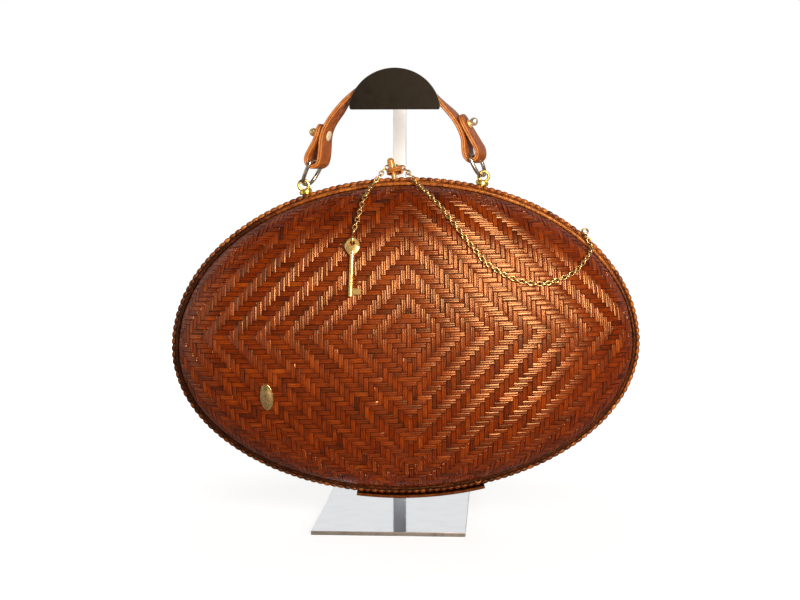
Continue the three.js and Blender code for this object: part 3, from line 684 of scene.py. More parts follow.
def tie_loft(turn):
    """A short end of cane, bent over the flat hoop and tucked in on both sides of it."""
    arch = np.linspace(-TIE["tuck"], math.pi + TIE["tuck"], TIE_STEPS)
    ring = circle(TIE_SIDES)
    along = np.interp(turn % (2 * math.pi), OUTLINE_TURNS, OUTLINE_LENGTHS) + TIE["half_span"] * np.cos(arch)
    out = TIE["out"] + TIE["over"] * np.sin(arch)[:, None] + TIE["cane"] * np.cos(ring)
    deep = TIE["deep"] + TIE["proud"] * np.sin(arch)[:, None] + TIE["cane"] * np.sin(ring)
    rings = rim_rings(along / OUTLINE_LENGTHS[-1], out, deep, FRONT)
    return skin(rings, (out, arch[:, None], deep), TIE["tone"])


BEAD_STOPS = [
    (0.0, (0.008, 0.002, 0.0008)),
    (0.3, (0.055, 0.011, 0.003)),
    (0.5, (0.14, 0.03, 0.0075)),
    (0.75, (0.4, 0.11, 0.017)),
    (1.0, (0.62, 0.26, 0.07)),
]
bead_cane = cane_material("bead_cane", BEAD_STOPS, contrast=0.3, coat=0.02, shine=0.25)

for body, side in (("front", FRONT), ("back", BACK)):
    random = np.random.default_rng(RIM_SEED + side)
    ties = [tie_loft(turn) for turn in TIE_TURNS] if side == FRONT else []
    whipped = add_lofts(f"{body}_rim_beads", [bead_loft(side, random), core_loft(side), *ties])
    bound = add_lofts(f"{body}_rim_band", [band_loft(side, random)])
    laced = add_lofts(f"{body}_rim_lacing", [lace_loft(side, random)])
    for made in (whipped, bound, laced):
        seat(made, bead_cane, "rattan", body, f"{body}_rim")

# Hinge: one strip of saddle leather under the bag, glued to both rims and left free between them, along the
# line where the halves meet. Its cut edges are paler than its face.
HINGE = {"from_x": -38.8, "to_x": 56.7, "inner": 0.1, "outer": 2.4, "half": 7.2, "corner": 0.35}
HINGE_EDGE = (0.4, 1.15, 1.9)
HINGE_STEPS = 64
HINGE_ACROSS = np.linspace(-1, 1, 23)
# The face's dark tone is partly the leather's own colour and partly painted shade, as it lies under the bag.
HINGE_SHADED_FACE_TONE = 0.12
HINGE_EDGE_TONE = 0.5
HINGE_SHARP = 50


def hinge_loft():
    across = HINGE_ACROSS * (HINGE["half"] - HINGE["corner"])
    lower = [(y, HINGE["outer"]) for y in across]
    upper = [(y, HINGE["inner"]) for y in across[::-1]]
    near = [(-HINGE["half"], HINGE["inner"] + rise) for rise in HINGE_EDGE]
    far = [(-y, out) for y, out in near[::-1]]
    y, out = np.array(near + lower + far + upper).T
    x = np.linspace(HINGE["from_x"], HINGE["to_x"], HINGE_STEPS)
    point, normal = outline(-np.arccos(x / HALF_WIDTH))
    rings = point[:, None] + normal[:, None] * out[:, None]
    rings[..., 1] = y
    on_edge = np.abs(y) > HINGE["half"] - HINGE["corner"] / 2
    tone = np.where(on_edge, HINGE_EDGE_TONE, HINGE_SHADED_FACE_TONE)
    return skin(rings, (rings[..., 1], rings[..., 0], 0), tone)


# Leather has fine pores and creases, cloudy dye, and a wax polish that is worn off in places.
LEATHER_WAX = (1.0, 0.68, 0.4, 1)
CLOUDS = 0.5
CREASES = 0.24
CREASE_RANGE = (0.3, 0.7)
WAXED = 0.36
DRY = 0.56
LEATHER_BUMP = {"strength": 0.3, "distance": 0.00012}
leather_grain, leather, leather_result = new_group(
    "leather_grain",
    vectors=["Place"],
    numbers={"Tone": 0.5, "Pore Scale": 1.6},
    results=["Shade", "Roughness", "Height"],
)
pores = put(leather_grain, "ShaderNodeTexVoronoi", Vector=leather["Place"], Scale=leather["Pore Scale"])
clouds = noise(leather_grain, leather["Place"], detail=4.0, scale=0.22)
creases = noise(leather_grain, leather["Place"], detail=5.0, scale=1.1, roughness=0.65)
cloudy = math_of(leather_grain, "MULTIPLY_ADD", clouds, CLOUDS, -CLOUDS / 2)
creased = math_of(leather_grain, "MULTIPLY_ADD", creases, CREASES, -CREASES / 2)
uneven = math_of(leather_grain, "ADD", cloudy, creased)
wire(
    leather_grain,
    leather_result,
    Shade=math_of(leather_grain, "ADD", uneven, leather["Tone"]),
    Roughness=map_range(leather_grain, creases, *CREASE_RANGE, WAXED, DRY),
    Height=math_of(leather_grain, "ADD", pores.outputs["Distance"], creases),
)


def leather_material(name, stops, shine=0.35):
    material, tree, shader = new_material(name, Specular_IOR_Level=shine, Specular_Tint=LEATHER_WAX)
    hide = put(tree, "ShaderNodeGroup", node_tree=leather_grain, Place=grain_of(tree),
               Tone=tone_of(tree)).outputs
    wire(
        tree,
        shader,
        Base_Color=ramp(tree, hide["Shade"], stops),
        Roughness=hide["Roughness"],
        Normal=bump(tree, hide["Height"], **LEATHER_BUMP),
    )
    return material


HINGE_STOPS = [
    (0.0, (0.012, 0.003, 0.001)),
    (0.4, (0.06, 0.014, 0.0035)),
    (0.75, (0.19, 0.055, 0.014)),
    (1.0, (0.36, 0.15, 0.05)),
]
hinge_strip = add_lofts("hinge_strip", [hinge_loft()])
hinge_strip.data.set_sharp_from_angle(angle=math.radians(HINGE_SHARP))
hinge_strip.data.materials.append(leather_material("hinge_leather", HINGE_STOPS, shine=0.0))
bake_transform(hinge_strip)
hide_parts("front_hinge_leaf", "back_hinge_leaf")

# Handle: a strap of two leather layers glued back to back, laid over the stand's saddle. Each end is folded
# outwards round a ring and buttoned to the strap. The cut edges show both layers, with a dark line between.
STAND_X = -4.5
STAND_Y = 76.0
STAND_YAW = math.radians(3.5)
HEAD_X = 2.3
HEAD_CENTRE_Z = 306.2
SADDLE_RADIUS = 28.3
SADDLE_CLEARANCE = 0.4
STRAP = {"width": 18.0, "thick": 3.4, "near_y": -4.5, "tip": 8.0, "tip_flat": 0.6, "tone": 0.5}
STRAP_EDGE = [
    {"inset": 0.75, "level": 1.0, "tone": 0.5},
    {"inset": 0.22, "level": 0.86, "tone": 0.5},
    {"inset": 0.0, "level": 0.55, "tone": 0.74},
    {"inset": 0.05, "level": 0.2, "tone": 0.74},
    {"inset": 0.5, "level": 0.0, "tone": 0.22},
]
STRAP_FACE = (-4.5, 0.0, 4.5)
STRAP_STEPS = 190
TIP_STEPS = 12
STRAP_TWIST = [
    {"turn": math.radians(15), "below_z": 322, "over": 17},
    {"turn": math.radians(3.5), "below_z": 300, "over": 20},
]
LEFT_FOLD = [
    (-64.6, 297.8), (-66.0, 290.6), (-67.9, 285.0), (-71.2, 279.0), (-73.9, 272.6), (-73.0, 268.4),
    (-69.6, 266.4), (-65.8, 268.4), (-64.2, 273.0), (-63.5, 279.3), (-63.0, 286.0), (-61.1, 293.3),
    (-55.4, 303.1), (-46.2, 314.0), (-36.2, 322.6),
]
RIGHT_FOLD = [
    (38.6, 304.6), (42.2, 297.0), (45.0, 292.0), (48.2, 286.0), (52.0, 278.6), (51.6, 273.0), (47.6, 270.7),
    (43.8, 273.6), (42.4, 279.2), (41.9, 286.4), (39.6, 293.5), (36.4, 299.4), (31.8, 305.6), (26.9, 311.2),
]
SADDLE_WRAP = np.radians([-34, -24, -12, 0, 12, 24, 36, 46])
STUD_ROW = 1
LOOP_ROW = 6
PATH_STEPS = 24
# The slit is a thin dark lens on the flap: painted shade where the cut would be.
SLIT_SHADE = {"half_width": 0.45, "half_length": 2.2, "thick": 0.3, "beyond": 3.8, "bevel": 0.05, "sides": 16}
BEVEL_SHARE = 0.3
PLAIN = Matrix.Identity(4)


def smooth_path(rows, closed=False, steps=PATH_STEPS):
    """A centripetal Catmull-Rom curve through rows of points."""
    rows = np.array(rows, float)
    if closed:
        padded = np.concatenate([rows[-1:], rows, rows[:2]])
    else:
        padded = np.concatenate([2 * rows[:1] - rows[1:2], rows, 2 * rows[-1:] - rows[-2:-1]])
    gaps = np.sqrt(np.linalg.norm(np.diff(padded, axis=0), axis=1))
    pieces = []
    t = (np.arange(steps) / steps)[:, None]
    for i in range(len(padded) - 3):
        a, b, c, d = padded[i:i + 4]
        before, span, after = gaps[i:i + 3]
        leave = span * ((b - a) / before - (c - a) / (before + span) + (c - b) / span)
        arrive = span * ((c - b) / span - (d - b) / (span + after) + (d - c) / after)
        bend = 2 * b - 2 * c + leave + arrive
        lean = -3 * b + 3 * c - 2 * leave - arrive
        pieces.append(b + leave * t + lean * t**2 + bend * t**3)
    if not closed:
        pieces.append(rows[-1:])
    return np.concatenate(pieces)


def at_lengths(path, wanted):
    lengths = lengths_of(path)
    return np.stack([np.interp(wanted, lengths, path[:, k]) for k in range(3)], -1)


def tangents(path, closed=False):
    if closed:
        return unit(np.roll(path, -1, 0) - np.roll(path, 1, 0))
    return unit(np.gradient(path, axis=0))


def smoothstep(value, low, high):
    t = np.clip((value - low) / (high - low), 0, 1)
    return t * t * (3 - 2 * t)


def strap_across(z):
    twist = STAND_YAW + sum(t["turn"] * smoothstep(t["below_z"] - z, 0, t["over"]) for t in STRAP_TWIST)
    return np.stack([np.sin(twist), np.cos(twist), np.zeros_like(twist)], -1)


saddle_x = STAND_X + HEAD_X - math.tan(STAND_YAW) * (STAND_Y - STRAP["near_y"])
saddle_reach = SADDLE_RADIUS + SADDLE_CLEARANCE + STRAP["thick"] / 2
saddle_arc = [(saddle_x + saddle_reach * math.sin(turn), HEAD_CENTRE_Z + saddle_reach * math.cos(turn))
              for turn in SADDLE_WRAP]
strap_rows = np.array([(x, STRAP["near_y"], z) for x, z in LEFT_FOLD + saddle_arc + RIGHT_FOLD[::-1]])
strap_path = smooth_path(strap_rows)
strap_length = lengths_of(strap_path)[-1]


def strap_loft():
    half_thick = STRAP["thick"] / 2
    half_width = STRAP["width"] / 2
    even = np.linspace(STRAP["tip"], strap_length - STRAP["tip"], STRAP_STEPS)
    tip = STRAP["tip"] * (1 - np.cos(np.linspace(0, math.pi / 2, TIP_STEPS)))[:-1]
    wanted = np.concatenate([tip, even, (strap_length - tip)[::-1]])
    path = at_lengths(strap_path, wanted)
    along = tangents(path)
    up = np.stack([-along[:, 2], np.zeros(len(along)), along[:, 0]], -1)
    across = strap_across(path[:, 2])
    upper = [(row["inset"] - half_width, row["level"], row["tone"]) for row in STRAP_EDGE]
    near = upper + [(w, -level, tone) for w, level, tone in upper[-2::-1]]
    under = [(w, -1.0, STRAP["tone"]) for w in STRAP_FACE]
    far = [(-w, -level, tone) for w, level, tone in near]
    over = [(-w, 1.0, STRAP["tone"]) for w in STRAP_FACE]
    sideways, level, tone = np.array(near + under + far + over).T
    from_tip = np.minimum(wanted, strap_length - wanted)
    narrow = np.sqrt(1 - np.maximum(0, 1 - (from_tip + STRAP["tip_flat"]) / STRAP["tip"]) ** 2)
    wide = sideways * narrow[:, None]
    rings = (path + across * half_width)[:, None] + across[:, None] * wide[..., None]
    rings = rings + up[:, None] * (level * half_thick)[:, None]
    return skin(rings, (wide, wanted[:, None], level * half_thick), tone)


def flap_face(row):
    """The middle of the outer face of a folded end at a row, with the ways to the tip and out."""
    dense = row * PATH_STEPS
    forward = unit(strap_path[min(dense + 1, len(strap_path) - 1)] - strap_path[max(dense - 1, 0)])
    across = strap_across(strap_rows[row][2])
    out = unit(np.cross(across, forward))
    to_tip = -forward if row == STUD_ROW else forward
    return strap_path[dense] + across * STRAP["width"] / 2 + out * STRAP["thick"] / 2, to_tip, out


def oval(half_width, half_height, sides):
    turn = circle(sides)
    return np.column_stack([half_width * np.cos(turn), half_height * np.sin(turn)])


def levelled(rows):
    """Rings from rows of a flat outline and its height."""
    return np.array([np.column_stack([points, np.full(len(points), level)]) for points, level in rows])


def slab(points, thick, bevel):
    """A flat plate of an outline, counterclockwise, about its own middle plane, with bevelled edges."""
    points = np.array(points, float)
    edge = np.roll(points, -1, 0) - np.roll(points, 1, 0)
    inward = unit(np.stack([-edge[:, 1], edge[:, 0]], -1))
    half = thick / 2
    softened = BEVEL_SHARE * bevel
    lower = [(bevel, -half), (softened, softened - half), (0, bevel - half)]
    upper = [(inset, -level) for inset, level in lower[::-1]]
    return skin(levelled([(points + inward * inset, level) for inset, level in lower + upper]))


def slit_shade_loft(row):
    """A dark lens on the flap beyond a stud: painted shade standing for the cut that lets the flap slip over
    it.
    """
    face, to_tip, out = flap_face(row)
    cut = slab(oval(SLIT_SHADE["half_width"], SLIT_SHADE["half_length"], SLIT_SHADE["sides"]), SLIT_SHADE["thick"], SLIT_SHADE["bevel"])
    axes = np.array([np.cross(to_tip, out), to_tip, out])
    return {**cut, "rings": cut["rings"] @ axes + face + to_tip * SLIT_SHADE["beyond"], "tone": cut["tone"] * 0}


STRAP_STOPS = [
    (0.0, (0.02, 0.005, 0.002)),
    (0.25, (0.12, 0.022, 0.0025)),
    (0.5, (0.33, 0.074, 0.01)),
    (0.75, (0.49, 0.155, 0.03)),
    (1.0, (0.62, 0.31, 0.11)),
]
flap_rows = [STUD_ROW, len(strap_rows) - 1 - STUD_ROW]
loop_rows = [LOOP_ROW, len(strap_rows) - 1 - LOOP_ROW]
handle = add_lofts("handle", [strap_loft(), *[slit_shade_loft(row) for row in flap_rows]], place=PLAIN)
seat(handle, leather_material("strap_leather", STRAP_STOPS), "leather", "back", "handle_strap")

# Screw eyes: two turned brass eyes stand on the back rim, each with a round seat, a short neck and a ring.
# The profile's rows are radius and height above the rim.
LEFT_EYE_X = -71.5
RIGHT_EYE_X = 58.9
EYE = {"radius": 3.75, "wire": 1.05, "centre": 6.4, "deep": 3.4, "lift": 0.1}
EYE_PROFILE = [
    (3.4, -1.3), (3.5, 0.0), (4.5, 0.05), (4.8, 0.3), (4.8, 2.4), (4.4, 2.9), (3.1, 3.2), (1.9, 3.4),
    (1.4, 3.5), (1.2, 3.6),
]
LATHE_SIDES = 28
OFF_AXIS = (0.31, 0.87, 0.38)
OFF_RING = (0.3, 0.2, 0.93)


def lathe(profile, origin, axis, sides=LATHE_SIDES):
    """A turned solid, from rows of radius and height along an axis."""
    axis = unit(np.array(axis, float))
    first = unit(np.cross(axis, OFF_AXIS))
    second = np.cross(axis, first)
    turn = circle(sides)
    spokes = np.cos(turn)[:, None] * first + np.sin(turn)[:, None] * second
    radius, height = np.array(profile, float).T
    rings = np.array(origin) + radius[:, None, None] * spokes + (height[:, None] * axis)[:, None]
    return skin(rings, (2 * turn, height[:, None], 0))


def tube(path, radius, sides=10, closed=False, start=(0, 1, 0)):
    """A round wire or cane along a path, turned as little as the path allows."""
    path = np.array(path, float)
    ahead = tangents(path, closed)
    side = unit(np.cross(ahead[0], start))
    turn = circle(sides)
    rings = []
    for place, forward in zip(path, ahead):
        side = unit(side - forward * side.dot(forward))
        other = np.cross(forward, side)
        rings.append(place + radius * (np.cos(turn)[:, None] * side + np.sin(turn)[:, None] * other))
    return skin(np.array(rings), (radius * turn, lengths_of(path)[:, None], 0), closed=closed)


def ring_path(centre, normal, radius, steps=40, stretch=1.0, long_axis=None):
    normal = unit(np.array(normal, float))
    first = unit(np.array(np.cross(normal, OFF_RING) if long_axis is None else long_axis, float))
    second = np.cross(normal, first)
    turn = circle(steps)[:, None]
    return np.array(centre) + radius * (stretch * np.cos(turn) * first + np.sin(turn) * second)


def rim_top(x, lift):
    point, normal = outline(np.arccos(np.array([x / HALF_WIDTH])))
    return (point + normal * lift)[0], normal[0]


# Old metal is bright where it is handled, and dull and brown elsewhere.
TARNISH_RANGE = (0.42, 0.72)
METAL_BUMP = {"strength": 0.03, "distance": 0.0002}
metal_wear, wear_given, wear_result = new_group(
    "metal_wear",
    vectors=[],
    numbers={"Scale": 300.0, "Bright": 0.18, "Dull": 0.4},
    results=["Tarnish", "Roughness", "Height"],
)
wear_place = put(metal_wear, "ShaderNodeTexCoord").outputs["Object"]
blotches = noise(metal_wear, wear_place, detail=4.0, scale=wear_given["Scale"], roughness=0.6)
tarnish = map_range(metal_wear, blotches, *TARNISH_RANGE)
wire(
    metal_wear,
    wear_result,
    Tarnish=tarnish,
    Roughness=map_range(metal_wear, tarnish, 0.0, 1.0, wear_given["Bright"], wear_given["Dull"]),
    Height=blotches,
)


def metal_material(name, bright, tarnished, scale=300.0, rough=(0.18, 0.4), metallic=1.0):
    material, tree, shader = new_material(name, Metallic=metallic)
    wear = put(tree, "ShaderNodeGroup", node_tree=metal_wear, Scale=scale, Bright=rough[0],
               Dull=rough[1]).outputs
    wire(
        tree,
        shader,
        Base_Color=ramp(tree, wear["Tarnish"], [(0.0, bright), (1.0, tarnished)]),
        Roughness=wear["Roughness"],
        Normal=bump(tree, wear["Height"], **METAL_BUMP),
    )
    return material


yellow_brass = metal_material(
    "yellow_brass", (0.82, 0.55, 0.11), (0.55, 0.33, 0.05), rough=(0.26, 0.42), metallic=0.85)
for name, x in (("left_eye", LEFT_EYE_X), ("right_eye", RIGHT_EYE_X)):
    foot, normal = rim_top(x, EYE["lift"])
    foot = foot + [0, EYE["deep"], 0]
    ring = tube(ring_path(foot + normal * EYE["centre"], (0, 1, 0), EYE["radius"]), EYE["wire"], closed=True)
    eye = add_lofts(f"{name}_brass", [lathe(EYE_PROFILE, foot, normal), ring])
    seat(eye, yellow_brass, "brass", "back", name, sharp=50)

# D-rings: bent steel wire. The straight bar lies in the fold of the strap, and the bow hangs in the screw
# eye that stands below it.
D_RING = {"wire": 1.42, "bar": 9.4, "arm": 11.2, "shoulder": 2.4, "rise": 1.0, "lift": 0.5, "square": 0.72}
BOW_STEPS = 9


def eye_centre(x):
    foot, _ = rim_top(x, EYE["lift"] + EYE["centre"])
    return np.array(BAG_PLACE @ Vector((foot + [0, EYE["deep"], 0]) * MM)) / MM


def d_ring_loft(row, eye_x):
    x, y, z = strap_rows[row]
    across = strap_across(z)
    bar_z = z + STRAP["thick"] / 2 + D_RING["lift"] + D_RING["wire"]
    bar = np.array([x, y, bar_z]) + across * STRAP["width"] / 2
    centre = eye_centre(eye_x)
    drop = centre + unit(bar - centre) * D_RING["rise"] - bar
    length = np.linalg.norm(drop)
    normal = unit(np.cross(across, drop))
    down = unit(np.cross(normal, across))
    flat = [(D_RING["bar"] * share, 0) for share in (-1, -1 / 3, 1 / 3, 1)]
    for turn in np.linspace(0, math.pi, BOW_STEPS):
        arm = D_RING["arm"] * abs(math.cos(turn)) ** D_RING["square"]
        bow = D_RING["shoulder"] + (length - D_RING["shoulder"]) * math.sin(turn) ** D_RING["square"]
        flat.append((math.copysign(arm, math.cos(turn)), bow))
    guide = smooth_path([bar + across * u + down * v for u, v in flat], closed=True, steps=10)
    return tube(guide, D_RING["wire"], closed=True, start=normal)


ring_steel = metal_material(
    "ring_steel", (0.48, 0.41, 0.33), (0.22, 0.155, 0.09), rough=(0.2, 0.36), metallic=0.9)
for name, row, eye_x in zip(("left_ring", "right_ring"), loop_rows, (LEFT_EYE_X, RIGHT_EYE_X)):
    ring = add_lofts(f"{name}_steel", [d_ring_loft(row, eye_x)], place=PLAIN)
    seat(ring, ring_steel, "steel", "back", name)

# Studs: turned ball studs that button the folded ends. A round base lies on the inner face of the strap, the
# shank passes through both layers, and the ball stands on a neck outside. The right ball is worn white.
STUD = {"ball": 3.1, "neck": 2.1, "shank": 1.5, "flange": 3.3, "base": 3.9, "base_height": 1.1}
SHANK_ROW = 5
BALL_ROW = 11
BALL_STEPS = 14
BALL_POLE = 0.02
STUD_REACH = 3.6
STUD_GAP = 0.3


def stud_loft(row):
    face, _, out = flap_face(row)
    through = -(2 * STRAP["thick"] + 4 * STUD_GAP)
    low = through - STUD["base_height"]
    base, shank, flange = STUD["base"], STUD["shank"], STUD["flange"]
    profile = [
        (0.05, low - 0.25), (2.2, low - 0.18), (base - 0.5, low + 0.05), (base, low + 0.5),
        (base - 0.1, through), (shank, through), (shank, 0), (flange, 0.05), (flange, 0.7),
        (flange - 0.5, 1.5), (STUD["neck"], 2.0),
    ]
    start = math.asin(STUD["neck"] / STUD["ball"])
    centre = STUD_REACH + STUD["ball"] * math.cos(start) - STUD["ball"] / 2
    for turn in np.linspace(math.pi - start, BALL_POLE, BALL_STEPS):
        profile.append((STUD["ball"] * math.sin(turn), centre + STUD["ball"] * math.cos(turn)))
    return lathe(profile, face + out * STUD_GAP, out)


stud_brass = metal_material(
    "stud_brass", (0.92, 0.64, 0.27), (0.76, 0.48, 0.17), rough=(0.22, 0.32), metallic=0.5)
# The stud bases are nearly white: painted reflection of the white room on their polished faces.
stud_base_sheen = metal_material(
    "stud_base_sheen", (0.98, 0.86, 0.62), (0.9, 0.7, 0.4), rough=(0.25, 0.35), metallic=0.3)
stud_white = metal_material(
    "stud_white", (0.82, 0.74, 0.6), (0.6, 0.5, 0.36), rough=(0.28, 0.4), metallic=0.75)
for name, row, ball_metal, slot in (
    ("left_stud", flap_rows[0], stud_brass, "brass"),
    ("right_stud", flap_rows[1], stud_white, "steel"),
):
    stud = add_lofts(f"{name}_turned", [stud_loft(row)], place=PLAIN)
    seat(stud, stud_base_sheen, slot, "back", name, sharp=40)
    stud.data.materials.append(stud_brass)
    stud.data.materials.append(ball_metal)
    row_of_face = np.arange(len(stud.data.polygons)) // LATHE_SIDES
    part_of_face = np.searchsorted([SHANK_ROW, BALL_ROW], row_of_face, side="right")
    stud.data.polygons.foreach_set("material_index", part_of_face.astype(np.int32))

# Closure: a turned wooden peg leans on the top of the front rim, with two turns of cane wound round it. The
# profile's rows are radius and share of the peg's length.
PEG_FOOT = np.array([-5.8, -6.6, 123.3])
PEG_TOP = np.array([-8.8, -4.0, 139.5])
PEG_PROFILE = [
    (1.5, 0.0), (1.7, 0.02), (1.75, 0.15), (1.8, 0.3), (2.2, 0.42), (2.5, 0.52), (2.62, 0.66), (2.65, 0.8),
    (2.55, 0.88), (2.2, 0.94), (1.5, 0.98), (0.5, 1.0), (0.05, 1.0),
]
PEG_STOPS = [
    (0.0, (0.08, 0.03, 0.01)),
    (0.35, (0.36, 0.14, 0.03)),
    (0.6, (0.58, 0.27, 0.06)),
    (1.0, (0.75, 0.45, 0.16)),
]
COLLAR = {"middle": 5.25, "cane": 0.92, "pitch": 1.75, "turns": 2.3, "along": 0.4, "shift": 1.5,
          "tone": 0.84}
COLLAR_STEPS = 90

peg_axis = PEG_TOP - PEG_FOOT
peg_length = np.linalg.norm(peg_axis)
peg_loft = lathe([(r, h * peg_length) for r, h in PEG_PROFILE], PEG_FOOT, peg_axis, sides=20)
peg = add_lofts("peg_wood", [peg_loft])
seat(peg, cane_material("peg_wood", PEG_STOPS, contrast=0.5, coat=0.2), "wood", "front", "closure_peg")

peg_up = unit(peg_axis)
collar_side = unit(np.array([peg_axis[2], 0, -peg_axis[0]]))
collar_front = np.cross(peg_up, collar_side)
collar_middle = PEG_FOOT + peg_axis * COLLAR["along"] + collar_side * COLLAR["shift"]
wind = np.linspace(0, 2 * math.pi * COLLAR["turns"], COLLAR_STEPS)[:, None]
climb = COLLAR["pitch"] * (wind / (2 * math.pi) - COLLAR["turns"] / 2)
round_peg = COLLAR["middle"] * (np.cos(wind) * collar_side + np.sin(wind) * collar_front)
collar_loft = tube(collar_middle + round_peg + climb * peg_up, COLLAR["cane"], start=peg_up)
collar_loft["tone"] = np.full_like(collar_loft["tone"], COLLAR["tone"])
collar = add_lofts("collar_cane", [collar_loft])
seat(collar, bead_cane, "rattan", "front", "peg_collar")

# Chain: a brass cable chain of oval links, each turned against the next. It runs from the key up the dome,
# behind the peg, and hangs in a bow to a small ring on the rim. A lift is a height off the dome.
CHAIN_ROUTE = [
    {"x": -36.0, "z": 84.6, "lift": 3.6},
    {"x": -33.0, "z": 94.4, "lift": 2},
    {"x": -28.6, "z": 107.8, "lift": 1.6},
    {"x": -24.8, "z": 114.8, "lift": 1.6},
    {"x": -22.4, "z": 118, "lift": 1.7},
    {"x": -20, "z": 122.6, "y": -8.4},
    {"x": -16.5, "z": 126.8, "y": -5.6},
    {"x": -12.7, "z": 131.4, "y": -2.6},
    {"x": -7.8, "z": 134.2, "y": -0.4},
    {"x": -3.4, "z": 133.9, "y": 0.3},
    {"x": 0.4, "z": 132.4, "y": -0.1},
    {"x": 2.8, "z": 130.4, "y": -1.8},
    {"x": 5.4, "z": 127.4, "y": -5.2},
    {"x": 9.2, "z": 122.4, "y": -8.6},
    {"x": 11.6, "z": 118, "lift": 1.7},
    {"x": 15.4, "z": 114.4, "lift": 1.6},
    {"x": 23.3, "z": 106.8, "lift": 1.6},
    {"x": 37.2, "z": 89.4, "lift": 1.6},
    {"x": 48.3, "z": 74.9, "lift": 1.6},
    {"x": 58.7, "z": 62.6, "lift": 1.6},
    {"x": 72.9, "z": 53, "lift": 1.6},
    {"x": 85.1, "z": 48.4, "lift": 1.6},
    {"x": 99.7, "z": 46.4, "lift": 1.6},
    {"x": 111.7, "z": 49.2, "lift": 1.6},
    {"x": 123.1, "z": 54, "lift": 1.6},
    {"x": 131.3, "z": 61.4, "lift": 1.6},
    {"x": 136.2, "z": 67.4, "lift": 1.8},
    {"x": 138, "z": 73, "y": -9.4},
    {"x": 135.6, "z": 78, "y": -7.8},
    {"x": 134.7, "z": 79.6, "y": -6.9},
]
LINK = {"long": 2.3, "wide": 1.45, "wire": 0.47, "pitch": 3.3, "lift": 0.3, "near": 0.6}
FLAT_TILT = math.radians(6)
UPRIGHT_TILT = math.radians(-74)
CHAIN_EYE = {"x": 133.4, "out": 1.6, "deep": 5.0, "radius": 2.1, "wire": 0.75, "facing": (0, -0.8, 0.6)}


def front_dome(x, z):
    """The front dome's outer surface at a place seen from the front, with its normal."""

    def deep(x, z):
        rho = np.maximum(np.hypot(x, z - APEX_RISE), 1e-6)
        share = np.minimum(rho / foot_radius(x / rho, (z - APEX_RISE) / rho), 1)
        return DOME_BASE + DOME_DEPTH * np.sqrt(1 - share**2)

    step = 0.2
    slope_x = (deep(x + step, z) - deep(x - step, z)) / (2 * step)
    slope_z = (deep(x, z + step) - deep(x, z - step)) / (2 * step)
    return np.array([x, -deep(x, z), z]), unit(np.array([-slope_x, -1, -slope_z]))


def chain_place(row):
    if "y" in row:
        return np.array([row["x"], row["y"], row["z"]])
    point, normal = front_dome(row["x"], row["z"])
    return point + normal * row["lift"]


def link_loft(number, middle, ahead):
    level = unit(np.cross(ahead, [0, -1, 0]))
    facing = np.cross(level, ahead)
    tilt = FLAT_TILT if number % 2 else UPRIGHT_TILT
    normal = math.cos(tilt) * facing + math.sin(tilt) * level
    stretch = LINK["long"] / LINK["wide"]
    loop = ring_path(middle + facing * LINK["lift"], normal, LINK["wide"], steps=16, stretch=stretch,
                     long_axis=ahead)
    return tube(loop, LINK["wire"], sides=6, closed=True, start=normal)


chain_path = smooth_path([chain_place(row) for row in CHAIN_ROUTE])
chain_length = lengths_of(chain_path)[-1]
link_count = int(chain_length / LINK["pitch"])
link_at = (np.arange(link_count) + 0.5) * chain_length / link_count
link_middles = at_lengths(chain_path, link_at)
link_before = at_lengths(chain_path, link_at - LINK["near"])
link_after = at_lengths(chain_path, link_at + LINK["near"])
link_ahead = unit(link_after - link_before)
links = [link_loft(number, *place) for number, place in enumerate(zip(link_middles, link_ahead))]
chain_brass = metal_material(
    "chain_brass", (0.72, 0.46, 0.18), (0.3, 0.165, 0.05), scale=500.0, rough=(0.32, 0.46), metallic=0.9)
chain = add_lofts("chain_links", links)
seat(chain, chain_brass, "brass", "front", "chain")

chain_eye_middle = rim_top(CHAIN_EYE["x"], CHAIN_EYE["out"])[0] + [0, FRONT * CHAIN_EYE["deep"], 0]
chain_eye_path = ring_path(chain_eye_middle, CHAIN_EYE["facing"], CHAIN_EYE["radius"])
chain_eye_loft = tube(chain_eye_path, CHAIN_EYE["wire"], closed=True, start=CHAIN_EYE["facing"])
chain_eye = add_lofts("chain_end_ring", [chain_eye_loft])
seat(chain_eye, chain_brass, "brass", "front", "chain_eye")

# Key: cast brass, filed flat. It has a disc bow with a hole for the chain, a round shaft with a collar,
# and a plain bit, and it hangs on a jump ring.
KEY_MIDDLE = {"x": -37.5, "z": 61.4, "lift": 2.1}
KEY_LEAN = math.radians(2)
KEY = {"length": 43.0, "shaft": 1.6, "thick": 2.2, "chamfer": 0.35}
KEY_BOW = {"radius": 5.4, "along": 15.3, "point": 0.8, "hole": 1.9, "hole_along": 17.4, "over_shaft": 1.6,
           "taper": 1.7, "edge": 0.4, "edge_share": 0.14, "sides": 48}
KEY_COLLAR = {"proud": 0.55, "rows": (2.2, 1.9, 1.2, 0.9)}
JUMP_RING = {"along": 20.0, "radius": 2.7, "wire": 0.5}
KEY_BIT = {"root": 1.0, "reach": 7.6, "height": 4.6, "along": -17.6, "thick": 1.7, "bevel": 0.2}


def on_dome(loft, place, lean=0.0):
    """Turns a loft so that its z stands off the front dome and its y points up it, and seats it there."""
    point, normal = front_dome(place["x"], place["z"])
    up = np.array([math.sin(lean), 0, math.cos(lean)])
    up = unit(up - normal * up.dot(normal))
    right = np.cross(up, normal)
    turned_rings = loft["rings"] @ np.array([right, up, normal])
    return {**loft, "rings": turned_rings + point + normal * place["lift"]}


